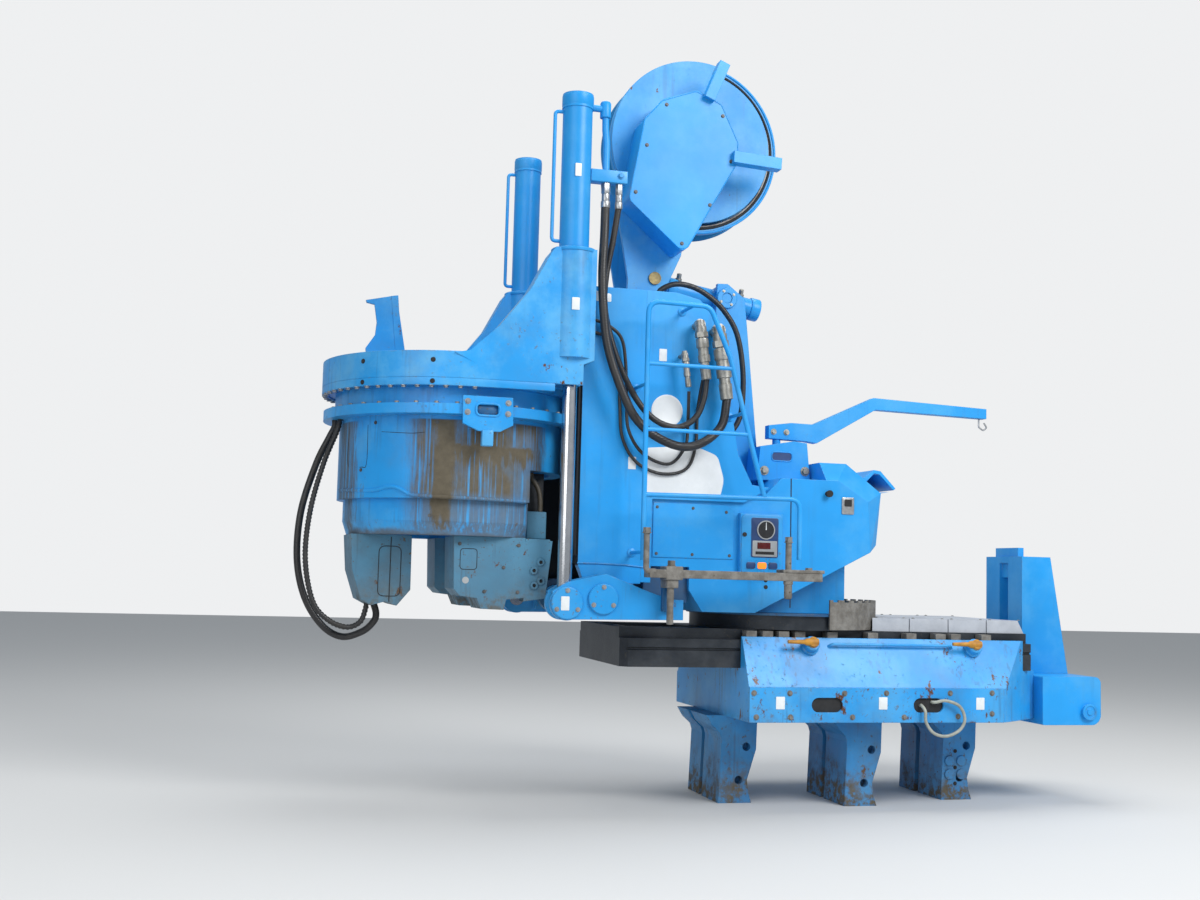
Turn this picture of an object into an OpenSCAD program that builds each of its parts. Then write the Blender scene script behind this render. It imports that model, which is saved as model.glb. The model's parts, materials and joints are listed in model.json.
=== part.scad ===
// Press-in piling machine that stands with three clamps on a row of sheet piles.
// +X is the rear, -X the chuck end, +Y the far side, +Z up. Millimetres.
// The origin lies on the ground, on the pile line, under the middle clamp.

/* [Clamps] */
// Distance from one clamp to the next, one sheet pile's width
clamp_pitch = 700; // [600:50:800]
// Distance of a pile's web from the pile line, which alternates from side to side
web_offset = 85; // [60:5:110]
// Gap between the fixed and the moving jaw of a clamp
grip_gap = 50; // [44:2:70]
// Thickness of a fixed jaw across the piles
fixed_jaw_w = 290; // [240:10:320]
// Thickness of a moving jaw across the piles
moving_jaw_w = 200; // [160:10:220]
// Width of a clamp leg along the piles at its top
leg_top_w = 310; // [290:10:340]
// Width of a clamp leg along the piles at its foot
leg_foot_w = 200; // [170:10:230]
// Radius of the two holes through a clamp leg
leg_hole_r = 24; // [15:1:30]
// Height of the moving jaws' feet above the ground
jaw_lift = 2; // [1:1:6]

/* [Saddle] */
// Front end of the saddle, ahead of the middle clamp
saddle_front = 740; // [720:10:800]
// Rear end of the saddle, behind the middle clamp
saddle_rear = 1150; // [1120:10:1180]
// Height of the saddle's underside above the ground
saddle_bottom_z = 495; // [440:5:560]
// Height of the aprons under the sloped sides
apron_h = 192; // [160:4:220]
// Height of the saddle above its underside
saddle_h = 460; // [440:5:480]
// Width of the saddle over its aprons
saddle_w = 1280; // [1240:10:1340]
// Width of the saddle over its top edges
saddle_top_w = 1010; // [1000:10:1060]
// Place where the rear corners begin to be cut away
saddle_cut_x = 812; // [780:4:840]
// Thickness of an apron plate
apron_t = 14; // [8:1:20]
// Length of an oval slot in an apron
slot_len = 185; // [140:5:220]
// Height of an oval slot in an apron
slot_h = 80; // [60:5:100]
// Thickness of the saddle's floor under the slide
saddle_floor = 285; // [270:5:295]

/* [Slide] */
// Front end of the slide frame, ahead of the middle clamp
slide_front = 1430; // [1400:10:1460]
// Rear end of the slide frame, behind the middle clamp
slide_rear = 1080; // [1060:5:1100]
// Width of the slide frame over its flanges
slide_w = 970; // [940:10:980]
// Width of the slide frame between its flanges' top corners
slide_top_w = 860; // [820:10:880]
// Height of the slide frame
slide_h = 214; // [206:2:222]
// Height of the slide frame's flanges
flange_h = 156; // [140:2:160]
// Running gap between the slide and the saddle
slide_gap = 5; // [5:1:8]

/* [Turning base] */
// Distance of the turning axis ahead of the middle clamp
turn_ahead = 317; // [300:5:330]
// Radius of the turning ring
turn_ring_r = 536; // [500:4:544]
// Height of the turning ring
turn_ring_h = 78; // [74:1:80]
// Radius of the toothed guard behind the turning ring
guard_r = 568; // [560:1:575]
// Height of the toothed guard
guard_h = 168; // [150:2:176]
// Half width of the turning housing
housing_half_w = 540; // [520:2:542]
// Height of the tilt pin above the ground
tilt_pin_z = 1148; // [1144:2:1152]
// Distance of the tilt pin ahead of the middle clamp
tilt_pin_ahead = 1604; // [1590:2:1612]
// Radius of the tilt pins
tilt_pin_r = 60; // [50:1:65]

/* [Mast] */
// Half width of the mast
mast_half_w = 562; // [556:1:566]
// Front edges of the mast's side beams, ahead of the middle clamp
mast_front = 1710; // [1706:1:1716]
// Depth of the side beams, front to rear
beam_depth = 355; // [340:5:360]
// Width of a side beam
beam_w = 62; // [50:2:66]
// Height of the mast's top above the ground
mast_top_z = 2850; // [2820:5:2880]
// Thickness of the mast's side skins
skin_t = 12; // [8:1:14]
// Half width over the mast's feet
foot_half_w = 720; // [712:1:730]
// Thickness of a foot's plate
foot_t = 25; // [20:1:26]

/* [Press cylinders] */
// Distance of the press cylinders ahead of the middle clamp
cyl_ahead = 1800; // [1795:1:1806]
// Distance of each press cylinder from the machine's mid-plane
cyl_half_gap = 650; // [645:1:655]
// Radius of a barrel
barrel_r = 81; // [76:1:86]
// Radius of a rod
rod_r = 39; // [34:1:42]
// Height of the barrels' top above the ground
barrel_top_z = 3875; // [3820:5:3920]
// Height of the rod pins above the ground
rod_pin_z = 1123; // [1118:1:1128]

/* [Chuck] */
// Distance of the chuck's axis ahead of the middle clamp
chuck_ahead = 2325; // [2315:1:2340]
// Radius of the chuck frame's ring
ring_r = 735; // [728:1:740]
// Height of the ring's top above the ground
ring_top_z = 2412; // [2400:2:2430]
// Thickness of the ring
ring_h = 137; // [120:1:150]
// Radius of the turning flange
flange_r = 722; // [700:1:724]
// Radius of the drum's cover
drum_r = 630; // [610:1:640]
// Radius of the passage for the pile
passage_r = 440; // [420:5:450]
// Height of the drum's underside above the ground
drum_bottom_z = 1462; // [1450:2:1480]

/* [Reel] */
// Distance of the reel's axis ahead of the middle clamp
reel_ahead = 952; // [940:2:970]
// Height of the reel's axis above the ground
reel_z = 3825; // [3800:5:3850]
// Radius of the reel
reel_r = 518; // [500:2:530]

/* [Ladder] */
// Distance of the ladder from the mid-plane
ladder_y = 780; // [760:5:800]
// Radius of the ladder's tube
tube_r = 14; // [10:1:18]
// Distance of the step bar's front from the mid-plane
step_y = 850; // [840:5:870]

/* [Hidden] */
$fn = 64;
// Colours
paint = [0.25, 0.62, 0.93];
shade_paint = [0.16, 0.42, 0.68];
dark_steel = [0.20, 0.22, 0.25];
dirty_steel = [0.45, 0.43, 0.40];
chrome = [0.85, 0.87, 0.90];
silver = [0.72, 0.73, 0.75];
rubber = [0.06, 0.06, 0.07];
brass = [0.55, 0.50, 0.33];
amber = [0.85, 0.50, 0.06];
pale = [0.62, 0.66, 0.60];
// A piece that rests on another keeps this gap
seat = 0.3;
// Room between pieces that slide or turn on each other
run = 0.5;
saddle_top_z = saddle_bottom_z + saddle_h;
apron_top_z = saddle_bottom_z + apron_h;
slide_z = saddle_bottom_z + saddle_floor + seat;
slide_top_z = slide_z + slide_h;
ring_z = slide_top_z + seat;
base_z = ring_z + turn_ring_h + seat;
turn_x = -turn_ahead;
pin_x = -tilt_pin_ahead;
beam_x = -mast_front;
beam_rear_x = beam_x + beam_depth;
cyl_x = -cyl_ahead;
chuck_x = -chuck_ahead;
ring_bottom_z = ring_top_z - ring_h;
reel_x = -reel_ahead;

// A profile drawn in X and Z, made y_len deep from y_from towards +Y
module slab(points, y_from, y_len) {
    translate([0, y_from + y_len, 0]) rotate([90, 0, 0]) linear_extrude(y_len) polygon(points);
}
// A block given by its lowest and highest corner
module block(low, high) {
    translate(low) cube([high[0] - low[0], high[1] - low[1], high[2] - low[2]]);
}
// A round bar along Y
module bar_y(x, z, y_from, y_to, r) {
    translate([x, y_to, z]) rotate([90, 0, 0]) cylinder(h = y_to - y_from, r = r);
}
// A round bar along X
module bar_x(y, z, x_from, x_to, r) {
    translate([x_from, y, z]) rotate([0, 90, 0]) cylinder(h = x_to - x_from, r = r);
}
// A round bar along Z
module bar_z(x, y, z_from, z_to, r) {
    translate([x, y, z_from]) cylinder(h = z_to - z_from, r = r);
}
// A rounded outline: circles of radius r at each point, joined
module round_outline(points, r) {
    hull() for (p = points) translate(p) circle(r, $fn = 32);
}
function unit(v) = v / norm(v);
function turn_angle(a, p, b) = acos(min(1, max(-1, unit(p - a) * unit(b - p))));
bend_steps = 4;
// The points of a round bend at p on the way from a to b
function bend(a, p, b, bend_r) =
    let (u = unit(p - a), v = unit(b - p), sweep = turn_angle(a, p, b), back = bend_r * tan(sweep / 2),
         side = u[0] * v[1] - u[1] * v[0] > 0 ? 1 : -1, inward = side * [-u[1], u[0]],
         centre = p - u * back + bend_r * inward)
    [for (i = [0 : bend_steps])
        let (turned = sweep * i / bend_steps)
        centre - bend_r * (cos(turned) * inward - sin(turned) * u)];
// A tube in the plane y = y0, through points [x, z], with round bends of radius bend_r
module bent_tube(path, y0, r, bend_r = 40) {
    last = len(path) - 1;
    flat = concat([path[0]],
        [for (i = [1 : 1 : last - 1]) each bend(path[i - 1], path[i], path[i + 1], bend_r)], [path[last]]);
    hose([for (p = flat) [p[0], y0, p[1]]], r, 10);
}
// Both sides of the mid-plane
module both_sides() {
    children();
    mirror([0, 1, 0]) children();
}
// A tube along a list of points in space, with flat ends; across is never along the path
module hose(points, r, sides = 8, across = [0, 1, 0]) {
    last = len(points) - 1;
    rings = [for (i = [0 : last])
        let (d = unit(points[min(i + 1, last)] - points[max(i - 1, 0)]),
             s = unit(cross(d, across)), t = cross(s, d))
        for (k = [0 : sides - 1])
            points[i] + r * (cos(360 * k / sides) * s + sin(360 * k / sides) * t)];
    walls = [for (i = [0 : last - 1]) for (k = [0 : sides - 1]) for (half = [0, 1])
        let (a = i * sides + k, b = i * sides + (k + 1) % sides, c = a + sides, d = b + sides)
        half == 0 ? [a, b, c] : [b, d, c]];
    caps = [[for (k = [sides - 1 : -1 : 0]) k], [for (k = [0 : sides - 1]) last * sides + k]];
    polyhedron(rings, concat(walls, caps));
}

// Saddle
// Half of the saddle's section across the piles: floor, wall and sloped side
saddle_section = [[0, saddle_bottom_z], [saddle_w / 2 - apron_t - seat, saddle_bottom_z],
    [saddle_w / 2 - apron_t - seat, apron_top_z], [saddle_top_w / 2, saddle_top_z],
    [slide_w / 2 + slide_gap, saddle_top_z], [slide_w / 2 + slide_gap, slide_z - seat],
    [0, slide_z - seat]];
rear_cut_half_w = 400;
module rear_corner_cut() {
    far = saddle_w;
    translate([0, 0, saddle_bottom_z - 1]) linear_extrude(saddle_h + 2) polygon(
        [[saddle_cut_x, saddle_w / 2 + 1], [saddle_rear + 1, rear_cut_half_w],
         [saddle_rear + far, rear_cut_half_w], [saddle_rear + far, far], [saddle_cut_x, far]]);
}
module saddle_frame() color(paint) difference() {
    both_sides() translate([saddle_rear, 0, 0]) rotate([90, 0, -90])
        linear_extrude(saddle_rear + saddle_front)
            polygon([for (p = saddle_section) [-p[0], p[1]]]);
    both_sides() rear_corner_cut();
}
apron_slot_x = [-282, 336];
module saddle_aprons() color(paint) both_sides() difference() {
    block([-saddle_front, saddle_w / 2 - apron_t, saddle_bottom_z], [saddle_cut_x, saddle_w / 2, apron_top_z]);
    for (x = apron_slot_x) for (end = [-1, 1])
        bar_y(x + end * (slot_len - slot_h) / 2, saddle_bottom_z + apron_h / 2,
              saddle_w / 2 - apron_t - 1, saddle_w / 2 + 1, slot_h / 2);
    for (x = apron_slot_x)
        block([x - (slot_len - slot_h) / 2, saddle_w / 2 - apron_t - 1, saddle_bottom_z + (apron_h - slot_h) / 2],
              [x + (slot_len - slot_h) / 2, saddle_w / 2 + 1, saddle_bottom_z + (apron_h + slot_h) / 2]);
}
hold_down_x = [-683, -586, -489, -392, -195, 55, 296, 482, 579, 775];
hold_down_len = 62;
module hold_downs() color(dirty_steel) both_sides() for (x = hold_down_x)
    block([x - hold_down_len / 2, slide_top_w / 2 + slide_gap, saddle_top_z],
          [x + hold_down_len / 2, saddle_top_w / 2, saddle_top_z + 32]);

// Clamps
clamp_side = [1, -1, 1];
function clamp_x(n) = (n - 2) * clamp_pitch;
function web_y(n) = clamp_side[n - 1] * web_offset;
module leg_outline(w_top, w_foot) {
    top_z = saddle_bottom_z;
    left = 12 - w_top / 2;
    right = 12 + w_top / 2;
    polygon([[left, top_z], [left + 33, 0.89 * top_z], [left + 83, 0.8 * top_z], [51 - w_foot / 2, 0.73 * top_z],
             [37 - w_foot / 2, 0], [37 + w_foot / 2, 0], [18 + w_foot / 2, 0.12 * top_z], [9 + w_foot / 2, 0.26 * top_z],
             [30 + w_foot / 2, 0.4 * top_z], [right - 5, 0.61 * top_z], [right, top_z]]);
}
module clamp_leg(n) color(paint) difference() {
    y_high = web_y(n) - grip_gap / 2;
    translate([clamp_x(n), y_high, 0]) rotate([90, 0, 0])
        linear_extrude(fixed_jaw_w) leg_outline(leg_top_w, leg_foot_w);
    for (h = [[103, 0.64], [58, 0.26]])
        bar_y(clamp_x(n) + h[0], h[1] * saddle_bottom_z, y_high - fixed_jaw_w - 1,
              y_high - fixed_jaw_w + 60, leg_hole_r);
}
module clamp_jaw(n) color(shade_paint) {
    y_low = web_y(n) + grip_gap / 2;
    intersection() {
        translate([clamp_x(n), y_low + moving_jaw_w, 0]) rotate([90, 0, 0])
            linear_extrude(moving_jaw_w) leg_outline(leg_top_w, leg_foot_w);
        block([clamp_x(n) - leg_top_w, y_low - 1, jaw_lift],
              [clamp_x(n) + leg_top_w, y_low + moving_jaw_w + 1, saddle_bottom_z - seat]);
    }
}
module clamp_leg_1() clamp_leg(1);
module clamp_leg_2() clamp_leg(2);
module clamp_leg_3() clamp_leg(3);
module clamp_jaw_1() clamp_jaw(1);
module clamp_jaw_2() clamp_jaw(2);
module clamp_jaw_3() clamp_jaw(3);

// Rear of the saddle
rear_box_len = 390;
rear_box_h = 283;
rear_box_z = 466;
rear_box_half_w = 500;
module rear_box() color(paint) {
    x0 = saddle_rear;
    x1 = saddle_rear + rear_box_len;
    translate([0, rear_box_half_w, 0]) rotate([90, 0, 0]) linear_extrude(2 * rear_box_half_w) hull() {
        translate([x0 + 10, rear_box_z + 10]) circle(10);
        translate([x0 + 10, rear_box_z + rear_box_h - 10]) circle(10);
        translate([x1 - 40, rear_box_z + rear_box_h - 40]) circle(40);
        translate([x1 - 60, rear_box_z + 60]) circle(60);
    }
    both_sides() bar_y(x1 - 88, rear_box_z + 78, rear_box_half_w - 1, rear_box_half_w + 16, 42);
}
post_x = 1195;
post_z = rear_box_z + rear_box_h;
post_top_z = 1458;
module rear_post() color(paint) {
    // Tapered rear column
    slab([[post_x + 60, post_z], [1512, post_z], [1392, post_top_z], [post_x + 60, post_top_z]], -200, 160);
    // Two front columns with a slot between them, and their head plate
    for (y = [-200, 60]) block([post_x, y, post_z], [post_x + 60, y + 160, post_top_z - 40]);
    block([post_x, -200, post_top_z - 40], [post_x + 60, 220, post_top_z]);
    block([post_x + 20, -120, post_top_z - 130], [post_x + 60, 140, post_top_z + 55]);
    slab([[post_x + 60, post_z], [1460, post_z], [1340, post_top_z - 60], [post_x + 60, post_top_z - 60]], 60, 160);
    block([post_x + 60, -41, post_z], [post_x + 240, 61, post_z + 260]);
}
valve_x = [-345, 668];
slope_w = (saddle_w - saddle_top_w) / 2;
slope_h = saddle_top_z - apron_top_z;
valve_down = 50;
module saddle_valves() {
    y0 = saddle_top_w / 2 + valve_down * slope_w / slope_h;
    for (x = valve_x) translate([x, -y0, saddle_top_z - valve_down]) rotate([atan2(slope_h, slope_w), 0, 0]) {
        color(paint) translate([0, 0, -0.7]) cylinder(h = 39.7, r = 32);
        color(amber) translate([0, 0, 38]) cylinder(h = 22, r = 22);
        color(amber) translate([-85, -9, 52]) cube([85, 20, 12]);
    }
}
// The loop's points, measured from the saddle's wall: [x, distance from the wall, z]
drain_points = [[290, 0, 590], [290, 20, 590], [300, 44, 560], [302, 50, 500], [350, 54, 440], [430, 54, 425],
                [510, 54, 460], [540, 54, 520], [510, 50, 590], [430, 42, 620], [375, 28, 611], [360, 15, 610],
                [360, 0, 610]];
module drain_loop() color(pale)
    hose([for (p = drain_points) [p[0], -saddle_w / 2 + apron_t - p[1], p[2]]], 9, 8, [0.3, 1, 0.4]);

// Slide
slide_section = [[0, slide_z], [slide_w / 2, slide_z], [slide_w / 2, slide_z + 92],
    [slide_w / 2 - 14, slide_z + 96], [slide_w / 2 - 14, slide_z + 104], [slide_w / 2, slide_z + 108],
    [slide_w / 2, slide_z + flange_h], [slide_top_w / 2, slide_z + flange_h],
    [slide_top_w / 2, slide_top_z], [0, slide_top_z]];
slide_wall = 150;
nose_cut = 40;
module slide_frame() color(dark_steel) difference() {
    both_sides() translate([slide_rear, 0, 0]) rotate([90, 0, -90])
        linear_extrude(slide_rear + slide_front) polygon([for (p = slide_section) [-p[0], p[1]]]);
    // The nose's corners are cut, and the frame is open between its rails ahead of the turning ring
    both_sides() translate([-slide_front, slide_w / 2, slide_z - 1]) rotate([0, 0, 45])
        translate([-200, -nose_cut * sin(45), 0]) cube([400, 200, slide_h + 2]);
    block([-slide_front + 90, -slide_top_w / 2 + slide_wall, slide_z - 1],
          [turn_x - turn_ring_r - 60, slide_top_w / 2 - slide_wall, slide_top_z + 1]);
}
cover_count = 4;
cover_w = 820;
cover_h = 76;
module slide_cover() color(silver) difference() {
    len_all = slide_rear - (turn_x + guard_r * 0.7);
    pitch = len_all / cover_count;
    for (i = [0 : cover_count - 1])
        slab([[slide_rear - (i + 1) * pitch + 3, slide_top_z + seat], [slide_rear - i * pitch - 3, slide_top_z + seat],
              [slide_rear - i * pitch - 3 - (i == 0 ? 40 : 0), slide_top_z + cover_h],
              [slide_rear - (i + 1) * pitch + 3, slide_top_z + cover_h]], -cover_w / 2, cover_w);
    bar_z(turn_x, 0, slide_top_z - 1, slide_top_z + cover_h + 1, guard_r + 14);
}
module turn_ring() color(dark_steel) bar_z(turn_x, 0, ring_z, ring_z + turn_ring_h, turn_ring_r);

// Turning base
lug_half_w = 470;
lug_t = 60;
housing_front = 1325;
housing_nose = 1070;
base_plate_t = 14;
module turn_base() color(shade_paint) {
    bar_z(turn_x, 0, base_z, base_z + base_plate_t, guard_r - 12 - seat);
    block([-housing_front, -housing_half_w + 30, base_z + 60], [-housing_nose, housing_half_w - 30, 1330]);
    both_sides() difference() {
        union() {
            block([pin_x, lug_half_w - lug_t, tilt_pin_z - 68], [-housing_front + 1, lug_half_w, tilt_pin_z + 95]);
            bar_y(pin_x, tilt_pin_z, lug_half_w - lug_t, lug_half_w, 98);
        }
        bar_y(pin_x, tilt_pin_z, lug_half_w - lug_t - 1, lug_half_w + 1, tilt_pin_r + run);
    }
}
housing_low_z = base_z + base_plate_t + seat;
housing_top_z = 1845;
housing_wall = 40;
// Front end and top of the housing's raised rear part
raise_x = -262;
raise_top_z = 1952;
module turn_housing() color(paint) {
    difference() {
        slab([[-housing_nose, 1206], [-990, housing_low_z], [-680, housing_low_z], [raise_x + 1, 1300],
              [raise_x + 1, housing_top_z], [-533, housing_top_z], [-640, 1735], [-housing_front, 1735],
              [-housing_front, 1330 + seat], [-housing_nose, 1330 + seat]],
             -housing_half_w, 2 * housing_half_w);
        // Hollow front, which is open towards the mast
        block([-housing_front - 1, -housing_half_w + housing_wall, 1330 + seat + housing_wall],
              [-780, housing_half_w - housing_wall, 1735 - housing_wall]);
    }
    // Raised rear part, bevelled along its top edges and its rear corners
    hull() {
        slab([[raise_x, 1300], [raise_x, housing_top_z], [-186, housing_top_z], [0, 1730], [15, 1442]],
             -housing_half_w, 2 * housing_half_w);
        slab([[raise_x, 1400], [raise_x, raise_top_z], [-95, raise_top_z], [127, 1790], [98, 1488]],
             -housing_half_w + 100, 2 * (housing_half_w - 100));
    }
    // Core that stands on the base plate
    block([-700, -360, housing_low_z], [-60, 360, 1405]);
    // Service covers on both sides
    both_sides() slab([[-1285, 1380], [-815, 1380], [-815, 1650], [-850, 1680], [-1285, 1680]],
                      housing_half_w - 1, 5);
}
guard_half_angle = 82;
guard_notch = 4;
guard_lift = 6;
module ring_guard() color(dirty_steel) translate([turn_x, 0, slide_top_z + guard_lift]) difference() {
    rotate([0, 0, -guard_half_angle]) rotate_extrude(angle = 2 * guard_half_angle, $fn = 180)
        translate([guard_r - 12, 0]) square([12, guard_h]);
    for (a = [-guard_half_angle + guard_notch : 2 * guard_notch : guard_half_angle]) rotate([0, 0, a])
        translate([guard_r - 20, -18, guard_h - 12]) cube([30, 36, 20]);
}
module control_panel() color(paint) difference() {
    block([-787, -housing_half_w - 36, 1298], [-535, -housing_half_w - seat, 1638]);
    block([-700, -housing_half_w - 37, 1400], [-590, -housing_half_w - 30, 1600]);
}
tilt_pivot = [-727, 2935];
rod_eye = [-1190, 3010];
bracket_y = 82;
bracket_t = 30;
module tilt_bracket() color(paint) both_sides() difference() {
    slab([[-640, 1736], [-792, 2850], [-786, 3019], [-722, 3022], [-613, 2940], [-500, housing_top_z + seat],
          [-533, housing_top_z + seat]], bracket_y, bracket_t);
    bar_y(tilt_pivot[0], tilt_pivot[1], bracket_y - 1, bracket_y + bracket_t + 1, 30 + run);
}
module hose_post() color(paint) difference() {
    slab([[arm_x - 152, housing_top_z + seat], [arm_x + 176, housing_top_z + seat], [arm_x + 153, 2070],
          [arm_x + 71, 2078], [arm_x - 136, 2040]], -340, 190);
    bar_y(arm_x - 40, 1985, -341, -320, 24);
    bar_y(arm_x + 35, 1985, -341, -320, 24);
    block([arm_x - 40, -341, 1961], [arm_x + 35, -320, 2009]);
    bar_z(arm_x, arm_y, 2010, 2100, 24 + run);
}
module rear_hood() color(paint) difference() {
    slab([[40, 1855.5], [64, 1837.7], [129, 1789.4], [262, 1812], [290, 1832], [192, 1932], [150, 1937]], -300, 420);
    slab([[80, 1845], [140, 1802], [262, 1811], [276, 1822], [185, 1912], [152, 1917]], -301, 402);
}
arm_x = -450;
arm_y = -245;
module hose_arm() color(paint) {
    bar_z(arm_x, arm_y, 2012, 2100, 24);
    slab([[arm_x - 60, 2095], [arm_x + 180, 2088], [arm_x + 243, 2080], [170, 2300], [905, 2285], [905, 2345],
          [155, 2370], [arm_x + 220, 2190], [arm_x + 80, 2192], [arm_x - 60, 2172]], arm_y - 30, 60);
}

// Tilt cylinder, drawn along X from its trunnion and then turned to its slope
tilt_angle = atan2(tilt_pivot[1] - rod_eye[1], tilt_pivot[0] - rod_eye[0]);
tilt_len = norm(tilt_pivot - rod_eye);
tilt_barrel_r = 60;
tilt_rod_r = 28;
module tilt_frame() {
    translate([tilt_pivot[0], 0, tilt_pivot[1]]) rotate([0, -tilt_angle, 0]) children();
}
module tilt_barrel() color(paint) tilt_frame() difference() {
    union() {
        bar_x(0, 0, -355, 240, tilt_barrel_r);
        block([-55, -70, -70], [55, 70, 70]);
        bar_y(0, 0, -bracket_y - bracket_t - 8, bracket_y + bracket_t + 8, 30);
    }
    bar_x(0, 0, -330, 215, tilt_barrel_r - 14);
    bar_x(0, 0, -356, -329, tilt_rod_r + run);
}
module tilt_rod() color(chrome) tilt_frame() difference() {
    union() {
        bar_x(0, 0, -tilt_len + 20, -230, tilt_rod_r);
        bar_x(0, 0, -270, -230, tilt_barrel_r - 14 - run);
        bar_y(-tilt_len, 0, -35, 35, 55);
    }
    bar_y(-tilt_len, 0, -36, 36, 28 + 3);
}

// Mast
web_x = 1550;
module mast_column() color(paint) {
    both_sides() slab([[beam_x, 1330], [beam_x + 40, 1232], [beam_rear_x, 1232], [beam_rear_x, mast_top_z],
        [beam_x, mast_top_z]], mast_half_w - beam_w, beam_w);
    // Web behind the turning drum, and the closed top
    block([-web_x, -mast_half_w + beam_w, 1340], [-web_x + 20, mast_half_w - beam_w, mast_top_z]);
    block([-web_x + 20, -mast_half_w + beam_w, mast_top_z - 25], [beam_rear_x, mast_half_w - beam_w, mast_top_z]);
    // Guide rails on the beams' front edges
    both_sides() block([beam_x - 16, mast_half_w - 44, 1380], [beam_x, mast_half_w - 12, mast_top_z - 20]);
}
shell_rear = [[-717, 1797], [-804, 1967], [-877, 2379], [-955, 2729], [-1046, 2819], [-1180, mast_top_z]];
module mast_shell() color(paint) {
    both_sides() slab(concat([[beam_rear_x, 1240], [-1298, 1240], [-1298, 1697], [-760, 1697], [-610, 1785]], shell_rear,
        [[beam_rear_x, mast_top_z]]), mast_half_w - skin_t, skin_t);
    slab(concat(shell_rear, [[-1180, mast_top_z - 20], [-1060, 2797], [-975, 2715], [-897, 2375],
        [-824, 1963], [-740, 1797]]), -mast_half_w + skin_t, 2 * (mast_half_w - skin_t));
    block([beam_rear_x, -mast_half_w + skin_t, mast_top_z - 20], [-1178, mast_half_w - skin_t, mast_top_z]);
}
foot_outline = [[-1158, 1045], [cyl_x - 20, 1045 - 8], [cyl_x - 80, rod_pin_z + 60], [-1800, 1233],
                [-1590, 1281], [-1345, 1190], [-1222, 1152], [-1158, 1152]];
module foot_plate(y_from, t) difference() {
    union() {
        slab(foot_outline, y_from, t);
        bar_y(cyl_x, rod_pin_z, y_from, y_from + t, 91);
    }
    bar_y(cyl_x, rod_pin_z, y_from - 1, y_from + t + 1, 45 + seat);
    bar_y(pin_x, tilt_pin_z, y_from - 1, y_from + t + 1, tilt_pin_r + seat);
}
module mast_foot() color(paint) both_sides() {
    foot_plate(foot_half_w - foot_t, foot_t);
    foot_plate(cyl_half_gap - rod_r - foot_t - 6, foot_t);
    // Block that joins both plates behind the rod
    block([-1520, cyl_half_gap - rod_r - 7, 1060], [-1180, foot_half_w - foot_t + 1, 1150]);
    // Inner beam foot, which carries the beam down to the tilt pin
    difference() {
        slab([[-1700, 1060], [-1400, 1060], [-1400, 1232 - seat], [-1700, 1232 - seat]], mast_half_w - beam_w, 80);
        bar_y(pin_x, tilt_pin_z, mast_half_w - beam_w - 1, mast_half_w + 30, tilt_pin_r + seat);
    }
    // Tilt pin with its cover
    bar_y(pin_x, tilt_pin_z, lug_half_w - lug_t - 5, foot_half_w + 2, tilt_pin_r);
    bar_y(pin_x, tilt_pin_z, foot_half_w + seat, foot_half_w + 14, 80);
    bar_y(cyl_x, rod_pin_z, foot_half_w + seat, foot_half_w + 14, 84);
}
piston_z = 2505;
module press_rods() color(chrome) both_sides() {
    bar_z(cyl_x, cyl_half_gap, rod_pin_z + 30, piston_z, rod_r);
    bar_z(cyl_x, cyl_half_gap, piston_z, piston_z + 70, barrel_r - 24 - run);
    bar_y(cyl_x, rod_pin_z, cyl_half_gap - rod_r - 3, cyl_half_gap + rod_r + 3, 60);
    bar_y(cyl_x, rod_pin_z, cyl_half_gap - rod_r - foot_t - 5, foot_half_w, 45);
}

// Hose reel
reel_plate_y = 150;
reel_plate_t = 25;
module arm_outline() {
    polygon([[-1450, 3640], [-1406, 3297], [-1352, 3000], [-1354, mast_top_z + seat], [-1180, mast_top_z + seat],
             [-1118, 2960], [-1030, 3160], [-1000, 3400]]);
}
module reel_arm() {
    color(paint) difference() {
        translate([0, -reel_plate_y + reel_plate_t, 0]) rotate([90, 0, 0]) linear_extrude(reel_plate_t) union() {
            arm_outline();
            translate([reel_x, reel_z]) circle(460);
            intersection() {
                translate([reel_x, reel_z]) circle(reel_r);
                translate([reel_x, reel_z]) polygon([[-2 * reel_r, -reel_r], [-60, -reel_r], [-60, 100], [120, reel_r],
                                                     [-2 * reel_r, reel_r]]);
            }
        }
        bar_y(rod_eye[0], rod_eye[1], -reel_plate_y - 1, 0, 28 + seat);
        bar_y(reel_x, reel_z, -reel_plate_y - 1, 0, 45 + seat);
    }
    color(paint) difference() {
        translate([0, reel_plate_y + 15, 0]) rotate([90, 0, 0]) linear_extrude(reel_plate_t) {
            arm_outline();
            hull() {
                translate([reel_x, reel_z]) circle(120, $fn = 48);
                translate([-1340, 3250]) circle(60, $fn = 48);
                translate([-1120, 3150]) circle(60, $fn = 48);
            }
        }
        bar_y(rod_eye[0], rod_eye[1], 0, reel_plate_y + 40, 28 + seat);
        bar_y(reel_x, reel_z, 0, reel_plate_y + 40, 45 + seat);
    }
    // Reel shaft and the pin that holds the tilt rod
    color(dirty_steel) bar_y(reel_x, reel_z, -reel_plate_y, reel_plate_y + 15, 45);
    color(brass) bar_y(rod_eye[0], rod_eye[1], -reel_plate_y - 8, reel_plate_y + 23, 28);
}
cover_depth = 210;
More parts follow.
